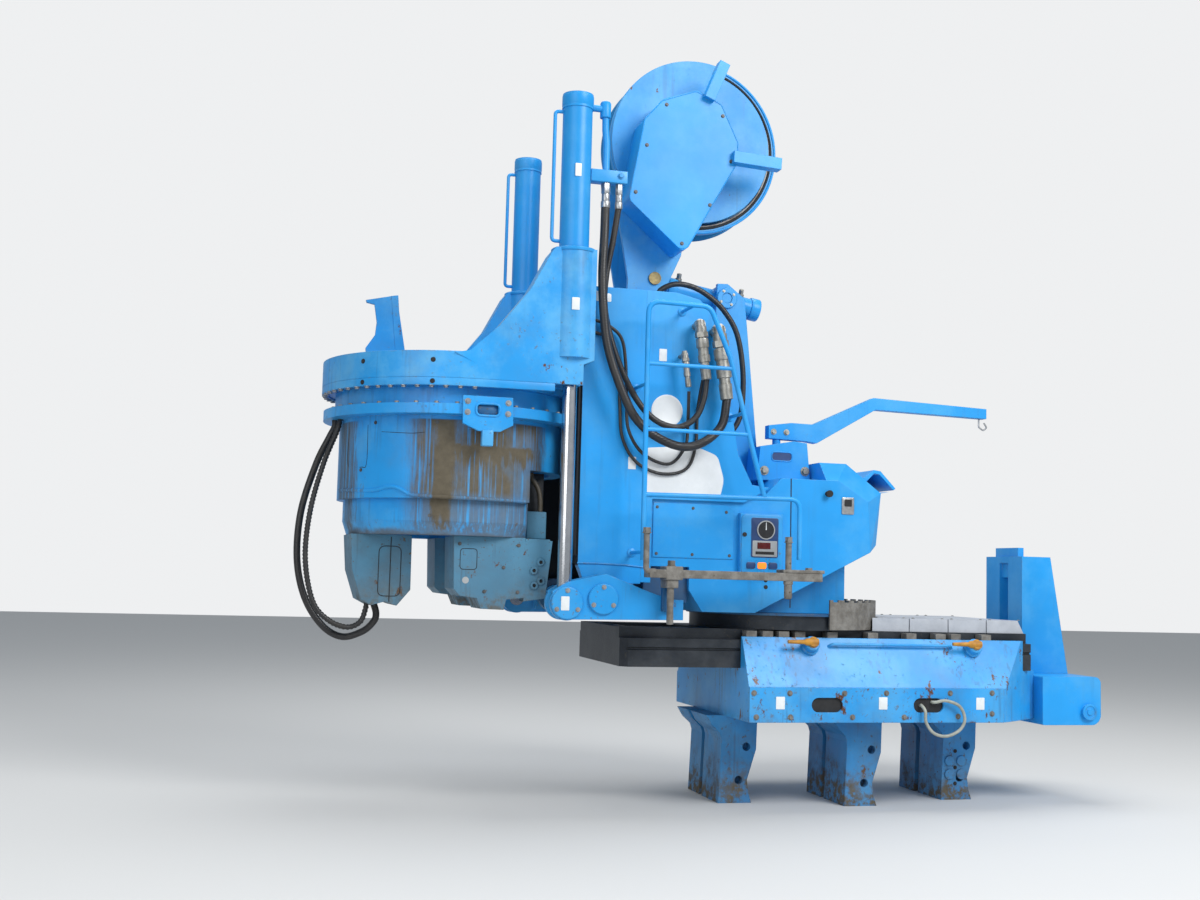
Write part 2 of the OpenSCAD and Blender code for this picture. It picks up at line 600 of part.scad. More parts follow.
module reel_cover() color(paint) {
    translate([0, -reel_plate_y - seat, 0]) rotate([90, 0, 0]) linear_extrude(cover_depth)
        round_outline([[-1200, 3990], [-1020, 4050], [-900, 4000], [-800, 3800], [-800, 3700],
                       [-1090, 3180], [-1378, 3425], [-1300, 3870]], 36);
    // Two bars that reach over the rim
    translate([-955, -reel_plate_y - cover_depth, 4040]) rotate([0, 22, 0])
        translate([-32, -40, 0]) cube([64, 70, 240]);
    translate([-800, -reel_plate_y - cover_depth, 3712]) rotate([0, 93, 0])
        translate([-34, -40, 0]) cube([68, 70, 295]);
}
reel_near_y = -112;
module hose_reel() color(paint) {
    difference() {
        bar_y(reel_x, reel_z, reel_near_y, reel_near_y + 34, reel_r);
        bar_y(reel_x, reel_z, reel_near_y - 1, reel_near_y + 35, reel_r - 26);
    }
    difference() {
        union() {
            bar_y(reel_x, reel_z, reel_near_y + 33, reel_near_y + 39, reel_r);
            bar_y(reel_x, reel_z, reel_near_y + 38, 110, 190);
            bar_y(reel_x, reel_z, 96, 104, reel_r);
        }
        bar_y(reel_x, reel_z, reel_near_y - 1, 120, 45 + run);
    }
}
module reel_hose() color(rubber) difference() {
    bar_y(reel_x, reel_z, reel_near_y + 40, 95, 450);
    bar_y(reel_x, reel_z, reel_near_y + 39, 96, 190 + seat);
}

// Ladder, step and couplings
ladder_path = [[-1409, 1360], [-1409, 2748], [-1060, 2741], [-940, 2470], [-824, 2053], [-730, 1719]];
rail_path = [[-1409, 1706], [-522, 1714], [-522, 1385]];
rungs = [[2409, -922], [2055, -825]];
ladder_stays = [[-1409, 1400], [-1409, 2300], [-1150, 2743], [-856, 2170]];
rung_r = 11;
module ladder() color(paint) {
    bent_tube(ladder_path, -ladder_y, tube_r, 70);
    bent_tube(rail_path, -ladder_y, tube_r - 1, 60);
    for (rung = rungs) bar_x(-ladder_y, rung[0], ladder_path[0][0], rung[1], rung_r);
    for (p = ladder_stays) bar_y(p[0], p[1], -ladder_y, -mast_half_w - seat, rung_r - 1);
}
module step_bar() color(dirty_steel) {
    block([-1389, -step_y, 1268], [-411, -step_y + 110, 1312]);
    bar_z(-1404, -step_y + 20, 1290, 1500, 17);
    bar_z(-604, -step_y + 20, 1300, 1475, 17);
    bar_z(-1261, -step_y + 40, 1022, 1290, 19);
    block([-1300, -step_y + 10, 1110], [-1215, -foot_half_w - seat, 1268]);
    block([-1410, -step_y + 8, 1275], [-1380, -step_y + 40, 1305]);
}
// Three quick couplings, each [x, top z, length, radius, elbow radius]
coupling_rows = [[-1075, 2665, 330, 32, 20], [-965, 2640, 410, 40, 26], [-1160, 2490, 200, 18, 12]];
coupling_lean = 8;
coupling_y = 650;
module couplings() color(brass) for (c = coupling_rows) {
    translate([c[0], -coupling_y, c[1] + 20]) rotate([0, 180 - coupling_lean, 0]) cylinder(h = c[2], r = c[3]);
    bar_y(c[0] + 4, c[1] - 20, -coupling_y, -mast_half_w - seat, c[4]);
}

// Chuck frame
frame_rear = 1748;
module frame_plan(r) {
    circle(r, $fn = 128);
    translate([0, -r]) square([chuck_ahead - frame_rear, 2 * r]);
}
gusset = [[chuck_x - 113, ring_top_z - 5], [chuck_x - 35, 2423], [chuck_x + 119, 2566], [chuck_x + 274, 2765],
          [cyl_x - 139, 2979], [cyl_x - 115, 3010], [cyl_x + 110, 3010], [cyl_x + 110, 2410],
          [cyl_x - 150, 2300], [chuck_x + 125, 2300]];
bearing_h = 32;
module chuck_frame() color(paint) difference() {
    union() {
        difference() {
            union() {
                intersection() {
                    translate([chuck_x, 0, ring_bottom_z]) linear_extrude(ring_h) frame_plan(ring_r);
                    block([chuck_x - 800, -800, ring_bottom_z - 50], [-frame_rear, 800, ring_top_z + 50]);
                }
                bar_z(chuck_x, 0, ring_bottom_z - bearing_h, ring_bottom_z + 1, ring_r - 35);
                both_sides() slab(gusset, cyl_half_gap - 70, ring_r - cyl_half_gap + 70);
                both_sides() bar_z(cyl_x, cyl_half_gap, 2420, 3010, barrel_r + 37);
            }
            bar_z(chuck_x, 0, ring_bottom_z - bearing_h - 1, ring_top_z + 1, passage_r + 30);
            block([-frame_rear, -cyl_half_gap + 70, ring_bottom_z - bearing_h - 1],
                  [-1500, cyl_half_gap - 70, ring_top_z + 2]);
        }
        // Guide shoes that run on the mast's rails
        both_sides() for (z = [2290, 2690])
            block([beam_x - 60, mast_half_w - 47, z], [beam_x - 17, cyl_half_gap - 68, z + 120]);
    }
    both_sides() bar_z(cyl_x, cyl_half_gap, 2200, 3020, barrel_r + seat);
}
module press_barrels() color(paint) both_sides() difference() {
    union() {
        bar_z(cyl_x, cyl_half_gap, 2425, barrel_top_z - 80, barrel_r);
        bar_z(cyl_x, cyl_half_gap, barrel_top_z - 80, barrel_top_z, barrel_r + 3);
    }
    bar_z(cyl_x, cyl_half_gap, 2470, barrel_top_z - 60, barrel_r - 24);
    bar_z(cyl_x, cyl_half_gap, 2424, 2471, rod_r + run);
}
module grab_rails() color(paint) for (side = [-1, 1]) {
    x_out = cyl_x - barrel_r - 44;
    y0 = side * cyl_half_gap;
    bent_tube([[cyl_x - barrel_r - seat, barrel_top_z - 100], [x_out, barrel_top_z - 100], [x_out, 3060],
               [cyl_x - barrel_r - seat, 3060]], y0, 10, 22);
}
module manifold() {
    y0 = -cyl_half_gap;
    x0 = cyl_x + barrel_r;
    color(paint) {
        bar_x(y0, barrel_top_z - 60, x0 + 4, x0 + 40, 28);
        bent_tube([[x0 + 20, barrel_top_z - 60], [x0 + 78, barrel_top_z - 60], [x0 + 78, 3460]], y0, 17, 26);
        block([x0 + seat, y0 - 40, 3400], [cyl_x + 282, y0 + 30, 3468]);
    }
    color(silver) for (f = [[167, 26], [242, 20]]) bar_z(cyl_x + f[0], y0 - 10, 3270, 3400, f[1]);
}
guide_y = 420;
module pile_guides() color(paint) {
    // Upright plate on the ring's far side with a hooked tip, its brace, and the flange on its slanted edge
    slab([[chuck_x - 452, ring_top_z + seat], [chuck_x - 468, 2578], [chuck_x - 415, 2660], [chuck_x - 408, 2736],
          [chuck_x - 425, 2841], [chuck_x - 472, 2850], [chuck_x - 477, 2864], [chuck_x - 326, 2899],
          [chuck_x - 290, 2560], [chuck_x - 282, ring_top_z + seat]], guide_y, 22);
    slab([[chuck_x - 446, ring_top_z + seat], [chuck_x - 420, 2650], [chuck_x - 405, 2650],
          [chuck_x - 416, ring_top_z + seat]], guide_y + 21, 90);
    slab([[chuck_x - 328, 2899], [chuck_x - 288, 2906], [chuck_x - 279, 2808], [chuck_x - 233, 2557],
          [chuck_x - 226, ring_top_z + seat], [chuck_x - 284, ring_top_z + seat], [chuck_x - 292, 2560]],
         guide_y - 3, 62);
}

// Chuck
jaw_back_y = 520;
flange_z = ring_bottom_z - bearing_h - 100;
module chuck_drum() color(paint) {
    difference() {
        union() {
            // Turning flange and its neck up to the bearing
            bar_z(chuck_x, 0, flange_z - 55, flange_z, flange_r);
            bar_z(chuck_x, 0, flange_z - 1, ring_bottom_z - bearing_h - seat, ring_r - 75);
            // Cover shell, cut low at the rear, with a lower step at its foot
            bar_z(chuck_x, 0, 1650, flange_z - 54, drum_r);
            bar_z(chuck_x, 0, drum_bottom_z + 70, 1651, drum_r - 36);
            translate([chuck_x, 0, drum_bottom_z]) cylinder(h = 71, r1 = drum_r - 60, r2 = drum_r - 36);
        }
        bar_z(chuck_x, 0, drum_bottom_z - 1, ring_top_z, passage_r);
        block([chuck_x + 350, -800, drum_bottom_z - 1], [chuck_x + 800, 800, 1825]);
        // Space for the jaws' cylinders between the cover and the inner wall
        difference() {
            bar_z(chuck_x, 0, drum_bottom_z + 60, flange_z - 80, drum_r - 66);
            bar_z(chuck_x, 0, drum_bottom_z, flange_z, passage_r + 25);
        }
    }
    // Handle plate bolted over the flange's joint
    difference() {
        slab([[chuck_x - 63, 2185], [chuck_x + 201, 2185], [chuck_x + 206, 2040], [chuck_x + 138, 2003],
              [chuck_x + 22, 2003], [chuck_x - 60, 2040]], -flange_r - 14, 24);
        block([chuck_x + 15, -flange_r - 30, 2090], [chuck_x + 125, -flange_r + 20, 2140]);
    }
}
claw_half_w = 230;
module chuck_claw() color(shade_paint) translate([chuck_x, 0, 0])
    slab([[-565, drum_bottom_z - seat], [-235, drum_bottom_z - seat], [-233, 1166], [-305, 1079], [-370, 1100],
          [-443, 1078], [-498, 1107], [-550, 1265]], -claw_half_w, 2 * claw_half_w);
module chuck_jaw(side) translate([chuck_x, 0, 0]) {
    slab([[-48, drum_bottom_z - seat], [340, drum_bottom_z - seat], [340, 1140], [245, 1130], [233, 1075],
          [110, 1078], [85, 1134], [-4, 1144], [-40, 1180]], side > 0 ? 190 : -500, 310);
    // Bracket at the jaw's rear side
    slab([[339, 1440], [490, 1450], [458, 1140], [339, 1122]], side > 0 ? 400 : -500, 100);
}
module chuck_jaw_near() color(shade_paint) chuck_jaw(-1);
module chuck_jaw_far() color(shade_paint) chuck_jaw(1);
module chuck_hoses() color(rubber) translate([chuck_x, 0, 0])
    hose([[-660, -50, flange_z - 55.8], [-660, -51, 2055], [-690, -56, 1990], [-755, -60, 1840], [-825, -60, 1580],
          [-835, -60, 1320], [-785, -60, 1110], [-685, -55, 960], [-575, -50, 900], [-465, -45, 930],
          [-405, -42, 985], [-393, -40, 1030], [-409.9, -40, 1087.6]], 20);
module press_hoses() color(rubber) {
    hose([[-1633, -660, 3269.2], [-1633, -661, 3225], [-1640, -680, 3100], [-1650, -700, 2900], [-1640, -705, 2700], [-1610, -700, 2500],
          [-1540, -700, 2300], [-1450, -695, 2130], [-1330, -690, 2030], [-1180, -685, 1980], [-1050, -675, 2010],
          [-940, -660, 2110], [-910, -651, 2241]], 24);
    hose([[-1558, -660, 3269.3], [-1558, -659, 3225], [-1580, -645, 3100], [-1610, -630, 2900], [-1612, -625, 2720], [-1560, -625, 2515],
          [-1480, -628, 2330], [-1390, -632, 2190], [-1290, -636, 2110], [-1180, -640, 2090], [-1088, -645, 2145],
          [-1044, -650, 2246], [-1030, -650, 2347]], 17);
}
module mast_hoses() color(rubber)
    hose([[-1200, -250, mast_top_z + 0.9], [-1200, -251, 2880], [-1180, -255, 2925], [-1100, -262, 2962],
          [-1000, -266, 2955], [-900, -268, 2910], [-800, -266, 2830], [-715, -262, 2700], [-672, -256, 2500],
          [-668, -252, 2300], [-690, -251, 2190], [-748, -250, 2114], [-826.1, -250, 2100.3]], 16);

saddle_frame();
saddle_aprons();
hold_downs();
clamp_leg_1();
clamp_leg_2();
clamp_leg_3();
clamp_jaw_1();
clamp_jaw_2();
clamp_jaw_3();
rear_box();
rear_post();
saddle_valves();
drain_loop();
slide_frame();
slide_cover();
turn_ring();
turn_base();
turn_housing();
ring_guard();
control_panel();
tilt_bracket();
hose_post();
rear_hood();
hose_arm();
tilt_barrel();
tilt_rod();
mast_column();
mast_shell();
mast_foot();
press_rods();
reel_arm();
reel_cover();
hose_reel();
reel_hose();
ladder();
step_bar();
couplings();
chuck_frame();
press_barrels();
grab_rails();
manifold();
pile_guides();
chuck_drum();
chuck_claw();
chuck_jaw_near();
chuck_jaw_far();
chuck_hoses();
press_hoses();
mast_hoses();
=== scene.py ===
"""Looks of a press-in piling machine that stands with three clamps on a row of sheet piles.

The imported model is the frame. Each sub-assembly class adds its small pieces in the same frame, in metres:
+X is the rear, -X the chuck end, +Y the far side, +Z up.
"""

from __future__ import annotations

import json
import logging
import math
from dataclasses import dataclass, field
from enum import Enum

import bmesh
import bpy
from mathutils import Matrix, Vector

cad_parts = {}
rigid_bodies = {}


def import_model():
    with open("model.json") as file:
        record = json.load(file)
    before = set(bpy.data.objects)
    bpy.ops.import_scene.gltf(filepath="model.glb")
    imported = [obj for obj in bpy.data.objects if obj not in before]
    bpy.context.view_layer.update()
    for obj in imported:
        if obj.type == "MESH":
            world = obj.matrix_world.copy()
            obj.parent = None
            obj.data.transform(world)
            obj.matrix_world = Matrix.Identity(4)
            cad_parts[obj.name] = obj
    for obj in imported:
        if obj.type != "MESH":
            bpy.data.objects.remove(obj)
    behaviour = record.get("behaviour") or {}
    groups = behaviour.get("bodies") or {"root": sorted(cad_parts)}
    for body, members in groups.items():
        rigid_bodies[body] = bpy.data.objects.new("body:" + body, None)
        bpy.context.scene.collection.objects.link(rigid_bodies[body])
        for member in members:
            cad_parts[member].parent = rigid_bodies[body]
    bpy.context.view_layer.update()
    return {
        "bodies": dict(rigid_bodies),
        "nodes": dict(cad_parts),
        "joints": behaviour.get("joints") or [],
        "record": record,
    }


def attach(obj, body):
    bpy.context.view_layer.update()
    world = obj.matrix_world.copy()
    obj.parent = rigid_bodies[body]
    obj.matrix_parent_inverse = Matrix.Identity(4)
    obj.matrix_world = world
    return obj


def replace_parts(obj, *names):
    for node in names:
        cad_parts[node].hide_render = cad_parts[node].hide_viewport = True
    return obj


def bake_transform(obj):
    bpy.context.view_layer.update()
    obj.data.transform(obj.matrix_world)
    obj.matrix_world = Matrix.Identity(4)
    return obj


LOG = logging.getLogger("piling_machine")

Colour = tuple[float, float, float]
Point = tuple[float, float, float]
Flat = tuple[float, float]
Socket = bpy.types.NodeSocket
Piece = bpy.types.Object

SKY: Colour = (0.014, 0.330, 0.800)
FADED_SKY: Colour = (0.150, 0.430, 0.620)
DRIED_MUD: Colour = (0.112, 0.095, 0.066)
HOSE_DUST: Colour = (0.075, 0.066, 0.052)
# near black of old grease and painted shade, for the mast column's front and channel
GREASE_AND_SHADE_DARK: Colour = (0.012, 0.016, 0.022)
RUST: Colour = (0.130, 0.045, 0.014)
BARE_STEEL: Colour = (0.210, 0.200, 0.185)
DARK: Colour = (0.020, 0.021, 0.023)

EVEN: Point = (1.0, 1.0, 1.0)
WEAR_REACH = 0.007
SOFT_EDGE = 0.005
BEVEL_SAMPLES = 4
SHARP_ANGLE = 35.0
BROKEN_ANGLE = 40.0
BROKEN_STEPS = 3
MERGE_GAP = 1e-6
LEG_SHARE = 0.49
HEAD_SHARE = 0.75
WASHER_SHARE = 1.45
WASHER_THICK = 0.22
WASHER_SIDES = 20
LINK_SIDES = 12
PLATE_CORNER = 0.004
PLATE_BEVEL = 0.0005


class Part(Enum):
    """The CAD bodies that pieces ride on."""

    SADDLE = "saddle"
    SLIDE = "slide"
    TURN = "turn"
    MAST = "mast"
    TILT_BARREL = "tilt_barrel"
    FRAME = "chuck_frame"
    CHUCK = "chuck"
    JAW_NEAR = "chuck_jaw_near"
    REEL = "reel"
    ARM = "hose_arm"


class Facing(Enum):
    """The way in which a small piece points."""

    NEAR = (0.0, -1.0, 0.0)
    FAR = (0.0, 1.0, 0.0)
    UP = (0.0, 0.0, 1.0)
    DOWN = (0.0, 0.0, -1.0)
    REAR = (1.0, 0.0, 0.0)


SIDES = (("near", -1, Facing.NEAR), ("far", 1, Facing.FAR))


def at_depth(y: float, spots: list[Flat] | tuple[Flat, ...]) -> list[Point]:
    """Places in X and Z, put at one Y."""
    return [(x, y, z) for x, z in spots]


def about(x: float, radius: float, angle: float, z: float) -> Point:
    """A place round an upright axis that stands at an X."""
    return (x + radius * math.cos(angle), radius * math.sin(angle), z)


class NodeSheet:
    """Places and links the nodes of one material, world, shader group or Geometry Nodes tree."""

    def __init__(self, tree: bpy.types.NodeTree) -> None:
        """Keeps the tree to fill."""
        self.tree = tree

    def add(
        self, kind: str, given: dict[str | int, object] | None = None, **facts: object
    ) -> bpy.types.Node:
        """Adds a node.

        Args:
            kind: the node's type name.
            given: its inputs by name or place, each an output socket or a value.
            facts: attributes to set on it.

        Returns:
            The node.
        """
        node = self.tree.nodes.new(kind)
        for name, value in facts.items():
            setattr(node, name, value)
        self.fill(node, given or {})
        return node

    def fill(self, node: bpy.types.Node, given: dict[str | int, object]) -> None:
        """Links or sets inputs of a node, by name or place."""
        for label, value in given.items():
            self.feed(node.inputs[label], value)

    def feed(self, socket: Socket, value: object) -> None:
        """Links or sets one input.

        Args:
            socket: the input.
            value: an output socket, a number or a colour.
        """
        if isinstance(value, Socket):
            self.tree.links.new(value, socket)
        elif isinstance(value, tuple) and len(value) == 3 and socket.type == "RGBA":
            socket.default_value = (*value, 1.0)
        else:
            socket.default_value = value

    def maths(self, operation: str, *values: object, clamp: bool = False) -> Socket:
        """A Math node's output for its inputs in order, kept between 0 and 1 on demand."""
        return self.add(
            "ShaderNodeMath", dict(enumerate(values)), operation=operation, use_clamp=clamp
        ).outputs[0]

    def times(self, first: object, second: object, clamp: bool = False) -> Socket:
        """The product of two values."""
        return self.maths("MULTIPLY", first, second, clamp=clamp)

    def blend(self, share: object, first: object, second: object) -> Socket:
        """Mixes two colours by the second one's share."""
        return self.add("ShaderNodeMix", {0: share, 6: first, 7: second}, data_type="RGBA").outputs[2]

    def spread(self, value: object, low: float, high: float, to: Flat = (0.0, 1.0)) -> Socket:
        """Maps a range smoothly onto another.

        Args:
            value: the input.
            low: where the output starts to change.
            high: where it stops.
            to: the output at both ends.

        Returns:
            The mapped value.
        """
        facts = dict(enumerate((value, low, high, *to)))
        return self.add("ShaderNodeMapRange", facts, interpolation_type="SMOOTHSTEP").outputs[0]

    def place(self) -> Socket:
        """Object coordinates, in metres."""
        return self.add("ShaderNodeTexCoord").outputs["Object"]

    def noise(self, scale: float, detail: float = 4.0, stretch: Point = EVEN, rough: float = 0.6) -> Socket:
        """Noise on Object coordinates.

        Args:
            scale: the noise's scale, per metre.
            detail: its octaves.
            stretch: a factor on each axis.
            rough: its roughness.

        Returns:
            The noise value.
        """
        spot = self.add("ShaderNodeMapping", {"Vector": self.place(), "Scale": stretch}).outputs[0]
        facts = {"Vector": spot, "Scale": scale, "Detail": detail, "Roughness": rough}
        return self.add("ShaderNodeTexNoise", facts).outputs["Fac"]

    def patches(
        self, edges: Flat, scale: float, detail: float = 4.0, stretch: Point = EVEN, rough: float = 0.6
    ) -> Socket:
        """Noise cut to soft patches between two of its levels."""
        return self.spread(self.noise(scale, detail, stretch, rough), *edges)

    def axes(self) -> tuple[Socket, Socket, Socket]:
        """The X, Y and Z of Object coordinates, in metres."""
        return tuple(self.add("ShaderNodeSeparateXYZ", {0: self.place()}).outputs)

    def relief(
        self, height: Socket, strength: float, depth: float, base: dict[str, Socket] | None = None
    ) -> Socket:
        """The normal over a relief of some strength and depth, on the base's normal."""
        return self.add(
            "ShaderNodeBump", {"Strength": strength, "Distance": depth, "Height": height, **(base or {})}
        ).outputs[0]

    def soft_normal(self, radius: float) -> Socket:
        """The normal as if every edge were rounded."""
        return self.add("ShaderNodeBevel", {"Radius": radius}, samples=BEVEL_SAMPLES).outputs[0]

    def group(self, tree: bpy.types.NodeTree, **values: float) -> dict[str, Socket]:
        """Places a shared group with its inputs by name, and gives its outputs by name."""
        return {
            socket.name: socket for socket in self.add("ShaderNodeGroup", values, node_tree=tree).outputs
        }


class GroupKit:
    """Shader node groups that several finishes share."""

    def __init__(self) -> None:
        """Builds each group once."""
        self.wear = self.edge_wear()
        self.mud = self.mud_coat()
        self.runs = self.rain_runs()

    @staticmethod
    def begin(
        name: str, inputs: dict[str, float], outputs: tuple[str, ...]
    ) -> tuple[NodeSheet, dict[str, Socket], dict[str, Socket]]:
        """Starts a group.

        Args:
            name: the group's name.
            inputs: its number inputs with their defaults.
            outputs: its number outputs.

        Returns:
            The sheet, what comes in and what goes out, both by name.
        """
        tree = bpy.data.node_groups.new(name, "ShaderNodeTree")
        for label, default in inputs.items():
            socket = tree.interface.new_socket(label, in_out="INPUT", socket_type="NodeSocketFloat")
            socket.default_value = default
        for label in outputs:
            tree.interface.new_socket(label, in_out="OUTPUT", socket_type="NodeSocketFloat")
        sheet = NodeSheet(tree)
        return sheet, sheet.add("NodeGroupInput").outputs, sheet.add("NodeGroupOutput").inputs

    def edge_wear(self) -> bpy.types.NodeTree:
        """Paint rubbed off along edges: a mask from the bevelled normal and noise."""
        sheet, given, result = self.begin("edge_wear", {"Amount": 0.5}, ("Mask",))
        flat = sheet.add("ShaderNodeNewGeometry").outputs["True Normal"]
        dot = sheet.add(
            "ShaderNodeVectorMath", {0: sheet.soft_normal(WEAR_REACH), 1: flat}, operation="DOT_PRODUCT"
        )
        edge = sheet.spread(sheet.maths("SUBTRACT", 1.0, dot.outputs["Value"]), 0.015, 0.16)
        chips = sheet.patches((0.50, 0.60), 38.0, 5.0)
        chips_wide = sheet.patches((0.40, 0.62), 4.0, 3.0)
        mask = sheet.times(edge, sheet.times(chips, chips_wide))
        sheet.feed(result["Mask"], sheet.times(mask, given["Amount"], clamp=True))
        return sheet.tree

    def mud_coat(self) -> bpy.types.NodeTree:
        """Dried mud: heavy below a height, and thin spatter above it."""
        sheet, given, result = self.begin(
            "mud_coat", {"Amount": 0.5, "Top": 0.5, "Spatter": 0.2}, ("Mask", "Film")
        )
        height = sheet.axes()[2]
        lift = sheet.maths("MULTIPLY_ADD", sheet.noise(5.0, 6.0, rough=0.7), 0.7, -0.35)
        above = sheet.maths("SUBTRACT", sheet.maths("ADD", height, lift), given["Top"])
        low = sheet.spread(above, 0.06, -0.16)
        drops = sheet.patches((0.615, 0.70), 46.0, 3.0, rough=0.55)
        fields = sheet.patches((0.46, 0.62), 2.6)
        spatter = sheet.times(sheet.times(drops, fields), given["Spatter"])
        clumps = sheet.patches((0.40, 0.56), 16.0, 6.0, rough=0.7)
        heavy = sheet.times(sheet.times(low, clumps), given["Amount"])
        sheet.feed(result["Mask"], sheet.maths("MAXIMUM", heavy, spatter, clamp=True))
        film = sheet.times(sheet.patches((0.42, 0.75), 3.2, 5.0), given["Spatter"])
        film_low = sheet.times(sheet.spread(above, 0.30, -0.2), given["Amount"])
        sheet.feed(result["Film"], sheet.maths("MAXIMUM", film, sheet.times(film_low, 0.6), clamp=True))
        return sheet.tree

    def rain_runs(self) -> bpy.types.NodeTree:
        """Narrow upright runs that water leaves in dirt."""
        sheet, given, result = self.begin("rain_runs", {"Amount": 0.5}, ("Mask",))
        thin = sheet.patches((0.53, 0.66), 30.0, 3.0, (1.0, 1.0, 0.05))
        broad = sheet.patches((0.44, 0.62), 3.0, 3.0, (1.0, 1.0, 0.5))
        sheet.feed(result["Mask"], sheet.times(sheet.times(thin, broad), given["Amount"], clamp=True))
        return sheet.tree


@dataclass(frozen=True)
class Finish:
    """What all finishes share: a name, and the record's slot that goes with it."""

    name: str

    def start(self) -> tuple[bpy.types.Material, NodeSheet, bpy.types.Node]:
        """A new material, its sheet and its shader."""
        made = bpy.data.materials.new(self.name)
        made.use_nodes = True
        return made, NodeSheet(made.node_tree), made.node_tree.nodes["Principled BSDF"]


@dataclass(frozen=True)
class PaintFinish(Finish):
    """Machine paint with fading, edge wear, rust, rain runs and mud."""

    colour: Colour = SKY
    wear: float = 0.8
    rust: float = 0.0
    runs: float = 0.25
    mud: float = 0.0
    mud_top: float = 0.4
    spatter: float = 0.15
    gloss: float = 0.36
    fade: float = 0.35
    splash: bool = False
    greasy: tuple[float, float, float] | None = None
    slot: str = "paint"

    def shade(self, share: float, lift: float = 0.0) -> Colour:
        """The colour, darkened and lifted."""
        return tuple(share * c + lift for c in self.colour)

    def build(self, kit: GroupKit) -> bpy.types.Material:
        """Makes the material.

        Args:
            kit: the shared groups.

        Returns:
            The material.
        """
        made, sheet, shader = self.start()
        faded = tuple(0.50 * c + 0.50 * g for c, g in zip(self.colour, FADED_SKY))
        tone = sheet.blend(sheet.patches((0.30, 0.72), 1.3, 3.0), self.shade(0.80), self.colour)
        tone = sheet.blend(
            sheet.times(sheet.patches((0.42, 0.66), 2.4, 6.0, rough=0.65), self.fade), tone, faded
        )
        runs = sheet.group(kit.runs, Amount=self.runs)["Mask"]
        tone = sheet.blend(sheet.times(runs, 0.75), tone, self.shade(0.35, 0.03))
        if self.rust:
            edges = (0.66 - 0.07 * self.rust, 0.68 - 0.05 * self.rust)
            spots = sheet.patches(edges, 9.0, 8.0, (1.0, 1.0, 0.6), 0.75)
            tone = sheet.blend(
                spots, tone, sheet.blend(sheet.noise(40.0), tuple(0.5 * c for c in RUST), RUST)
            )
        wear = sheet.group(kit.wear, Amount=self.wear)["Mask"]
        tone = sheet.blend(wear, tone, BARE_STEEL)
        mud = sheet.group(kit.mud, Amount=self.mud, Top=self.mud_top, Spatter=self.spatter)
        cover = mud["Mask"]
        if self.splash:
            cover = sheet.maths("MAXIMUM", cover, self.mud_splash(sheet))
        wet, dry = (tuple(share * c for c in DRIED_MUD) for share in (0.62, 1.35))
        earth = sheet.blend(sheet.noise(24.0, 5.0), wet, dry)
        tone = sheet.blend(sheet.times(mud["Film"], 0.45), tone, earth)
        tone = sheet.blend(cover, tone, earth)
        # painted shade with old grease: the column's guide faces and the inside of its channel turn near
        # black
        if self.greasy:
            tone = sheet.blend(self.grease_and_shade_film(sheet), tone, GREASE_AND_SHADE_DARK)
        rough = sheet.maths("MULTIPLY_ADD", sheet.noise(11.0), 0.16, self.gloss - 0.08)
        fine = sheet.times(sheet.noise(60.0, 3.0), 0.05)
        height = sheet.maths("ADD", fine, sheet.times(cover, sheet.noise(30.0, 5.0)))
        sheet.fill(
            shader,
            {
                "Base Color": tone, "Specular IOR Level": 0.35,
                "Roughness": sheet.maths("ADD", rough, sheet.times(cover, 0.5), clamp=True),
                "Metallic": sheet.times(wear, 0.6), "Coat Roughness": 0.25,
                "Normal": sheet.relief(height, 0.5, 0.006, {"Normal": sheet.soft_normal(SOFT_EDGE)})
            }
        )
        return made

    @staticmethod
    def mud_splash(sheet: NodeSheet) -> Socket:
        """Dried mud on the drum's near side: a thick column, a band to its right and thin runs.

        Args:
            sheet: the material's sheet.

        Returns:
            The mask.
        """
        along, across, height = sheet.axes()
        side = sheet.times(sheet.spread(across, -0.02, -0.12), sheet.spread(across, -0.690, -0.680))
        side = sheet.times(side, sheet.spread(height, 2.072, 2.062))

        def swayed(axis: Socket, noise: Socket, width: float) -> Socket:
            """An axis pushed to and fro by a noise."""
            return sheet.maths("ADD", axis, sheet.maths("MULTIPLY_ADD", noise, width, -width / 2))

        def stretch(axis: Socket, rise: Flat, fall: Flat) -> Socket:
            """A stretch of an axis with soft ends."""
            return sheet.times(sheet.spread(axis, *rise), sheet.spread(axis, *fall))

        x = swayed(along, sheet.noise(9.0, 6.0, (1.0, 1.0, 0.25), 0.75), 0.20)
        smooth = swayed(height, sheet.noise(7.0, 6.0, rough=0.7), 0.10)
        drips = swayed(height, sheet.noise(60.0, 3.0, (1.0, 1.0, 0.03)), 0.34)
        column = stretch(x, (-2.555, -2.500), (-2.32, -2.42))
        band = sheet.times(
            stretch(x, (-2.47, -2.42), (-1.93, -1.97)),
            sheet.times(sheet.spread(drips, 1.80, 1.87), sheet.spread(smooth, 1.97, 1.93))
        )
        reach = stretch(x, (-2.68, -2.56), (-1.88, -1.94))
        fine = sheet.patches((0.32, 0.52), 60.0, 5.0, (1.0, 1.0, 0.02), 0.7)
        share = sheet.spread(sheet.noise(6.0, 4.0, (1.0, 1.0, 0.4)), 0.30, 0.56, (0.70, 1.0))
        share = sheet.times(share, sheet.spread(height, 1.64, 1.70, (0.72, 1.0)))
        runs = sheet.times(sheet.times(reach, fine), share)
        body = sheet.maths(
            "MAXIMUM", sheet.times(column, sheet.spread(drips, 1.44, 1.56, (0.5, 1.0))), band
        )
        foot = sheet.times(sheet.spread(smooth, 1.505, 1.462), 0.8)
        left = sheet.times(sheet.times(sheet.spread(x, -2.86, -2.90), fine), 0.8)
        upper, rest = sheet.maths("MAXIMUM", body, runs), sheet.maths("MAXIMUM", foot, left)
        return sheet.times(side, sheet.maths("MAXIMUM", upper, rest), clamp=True)

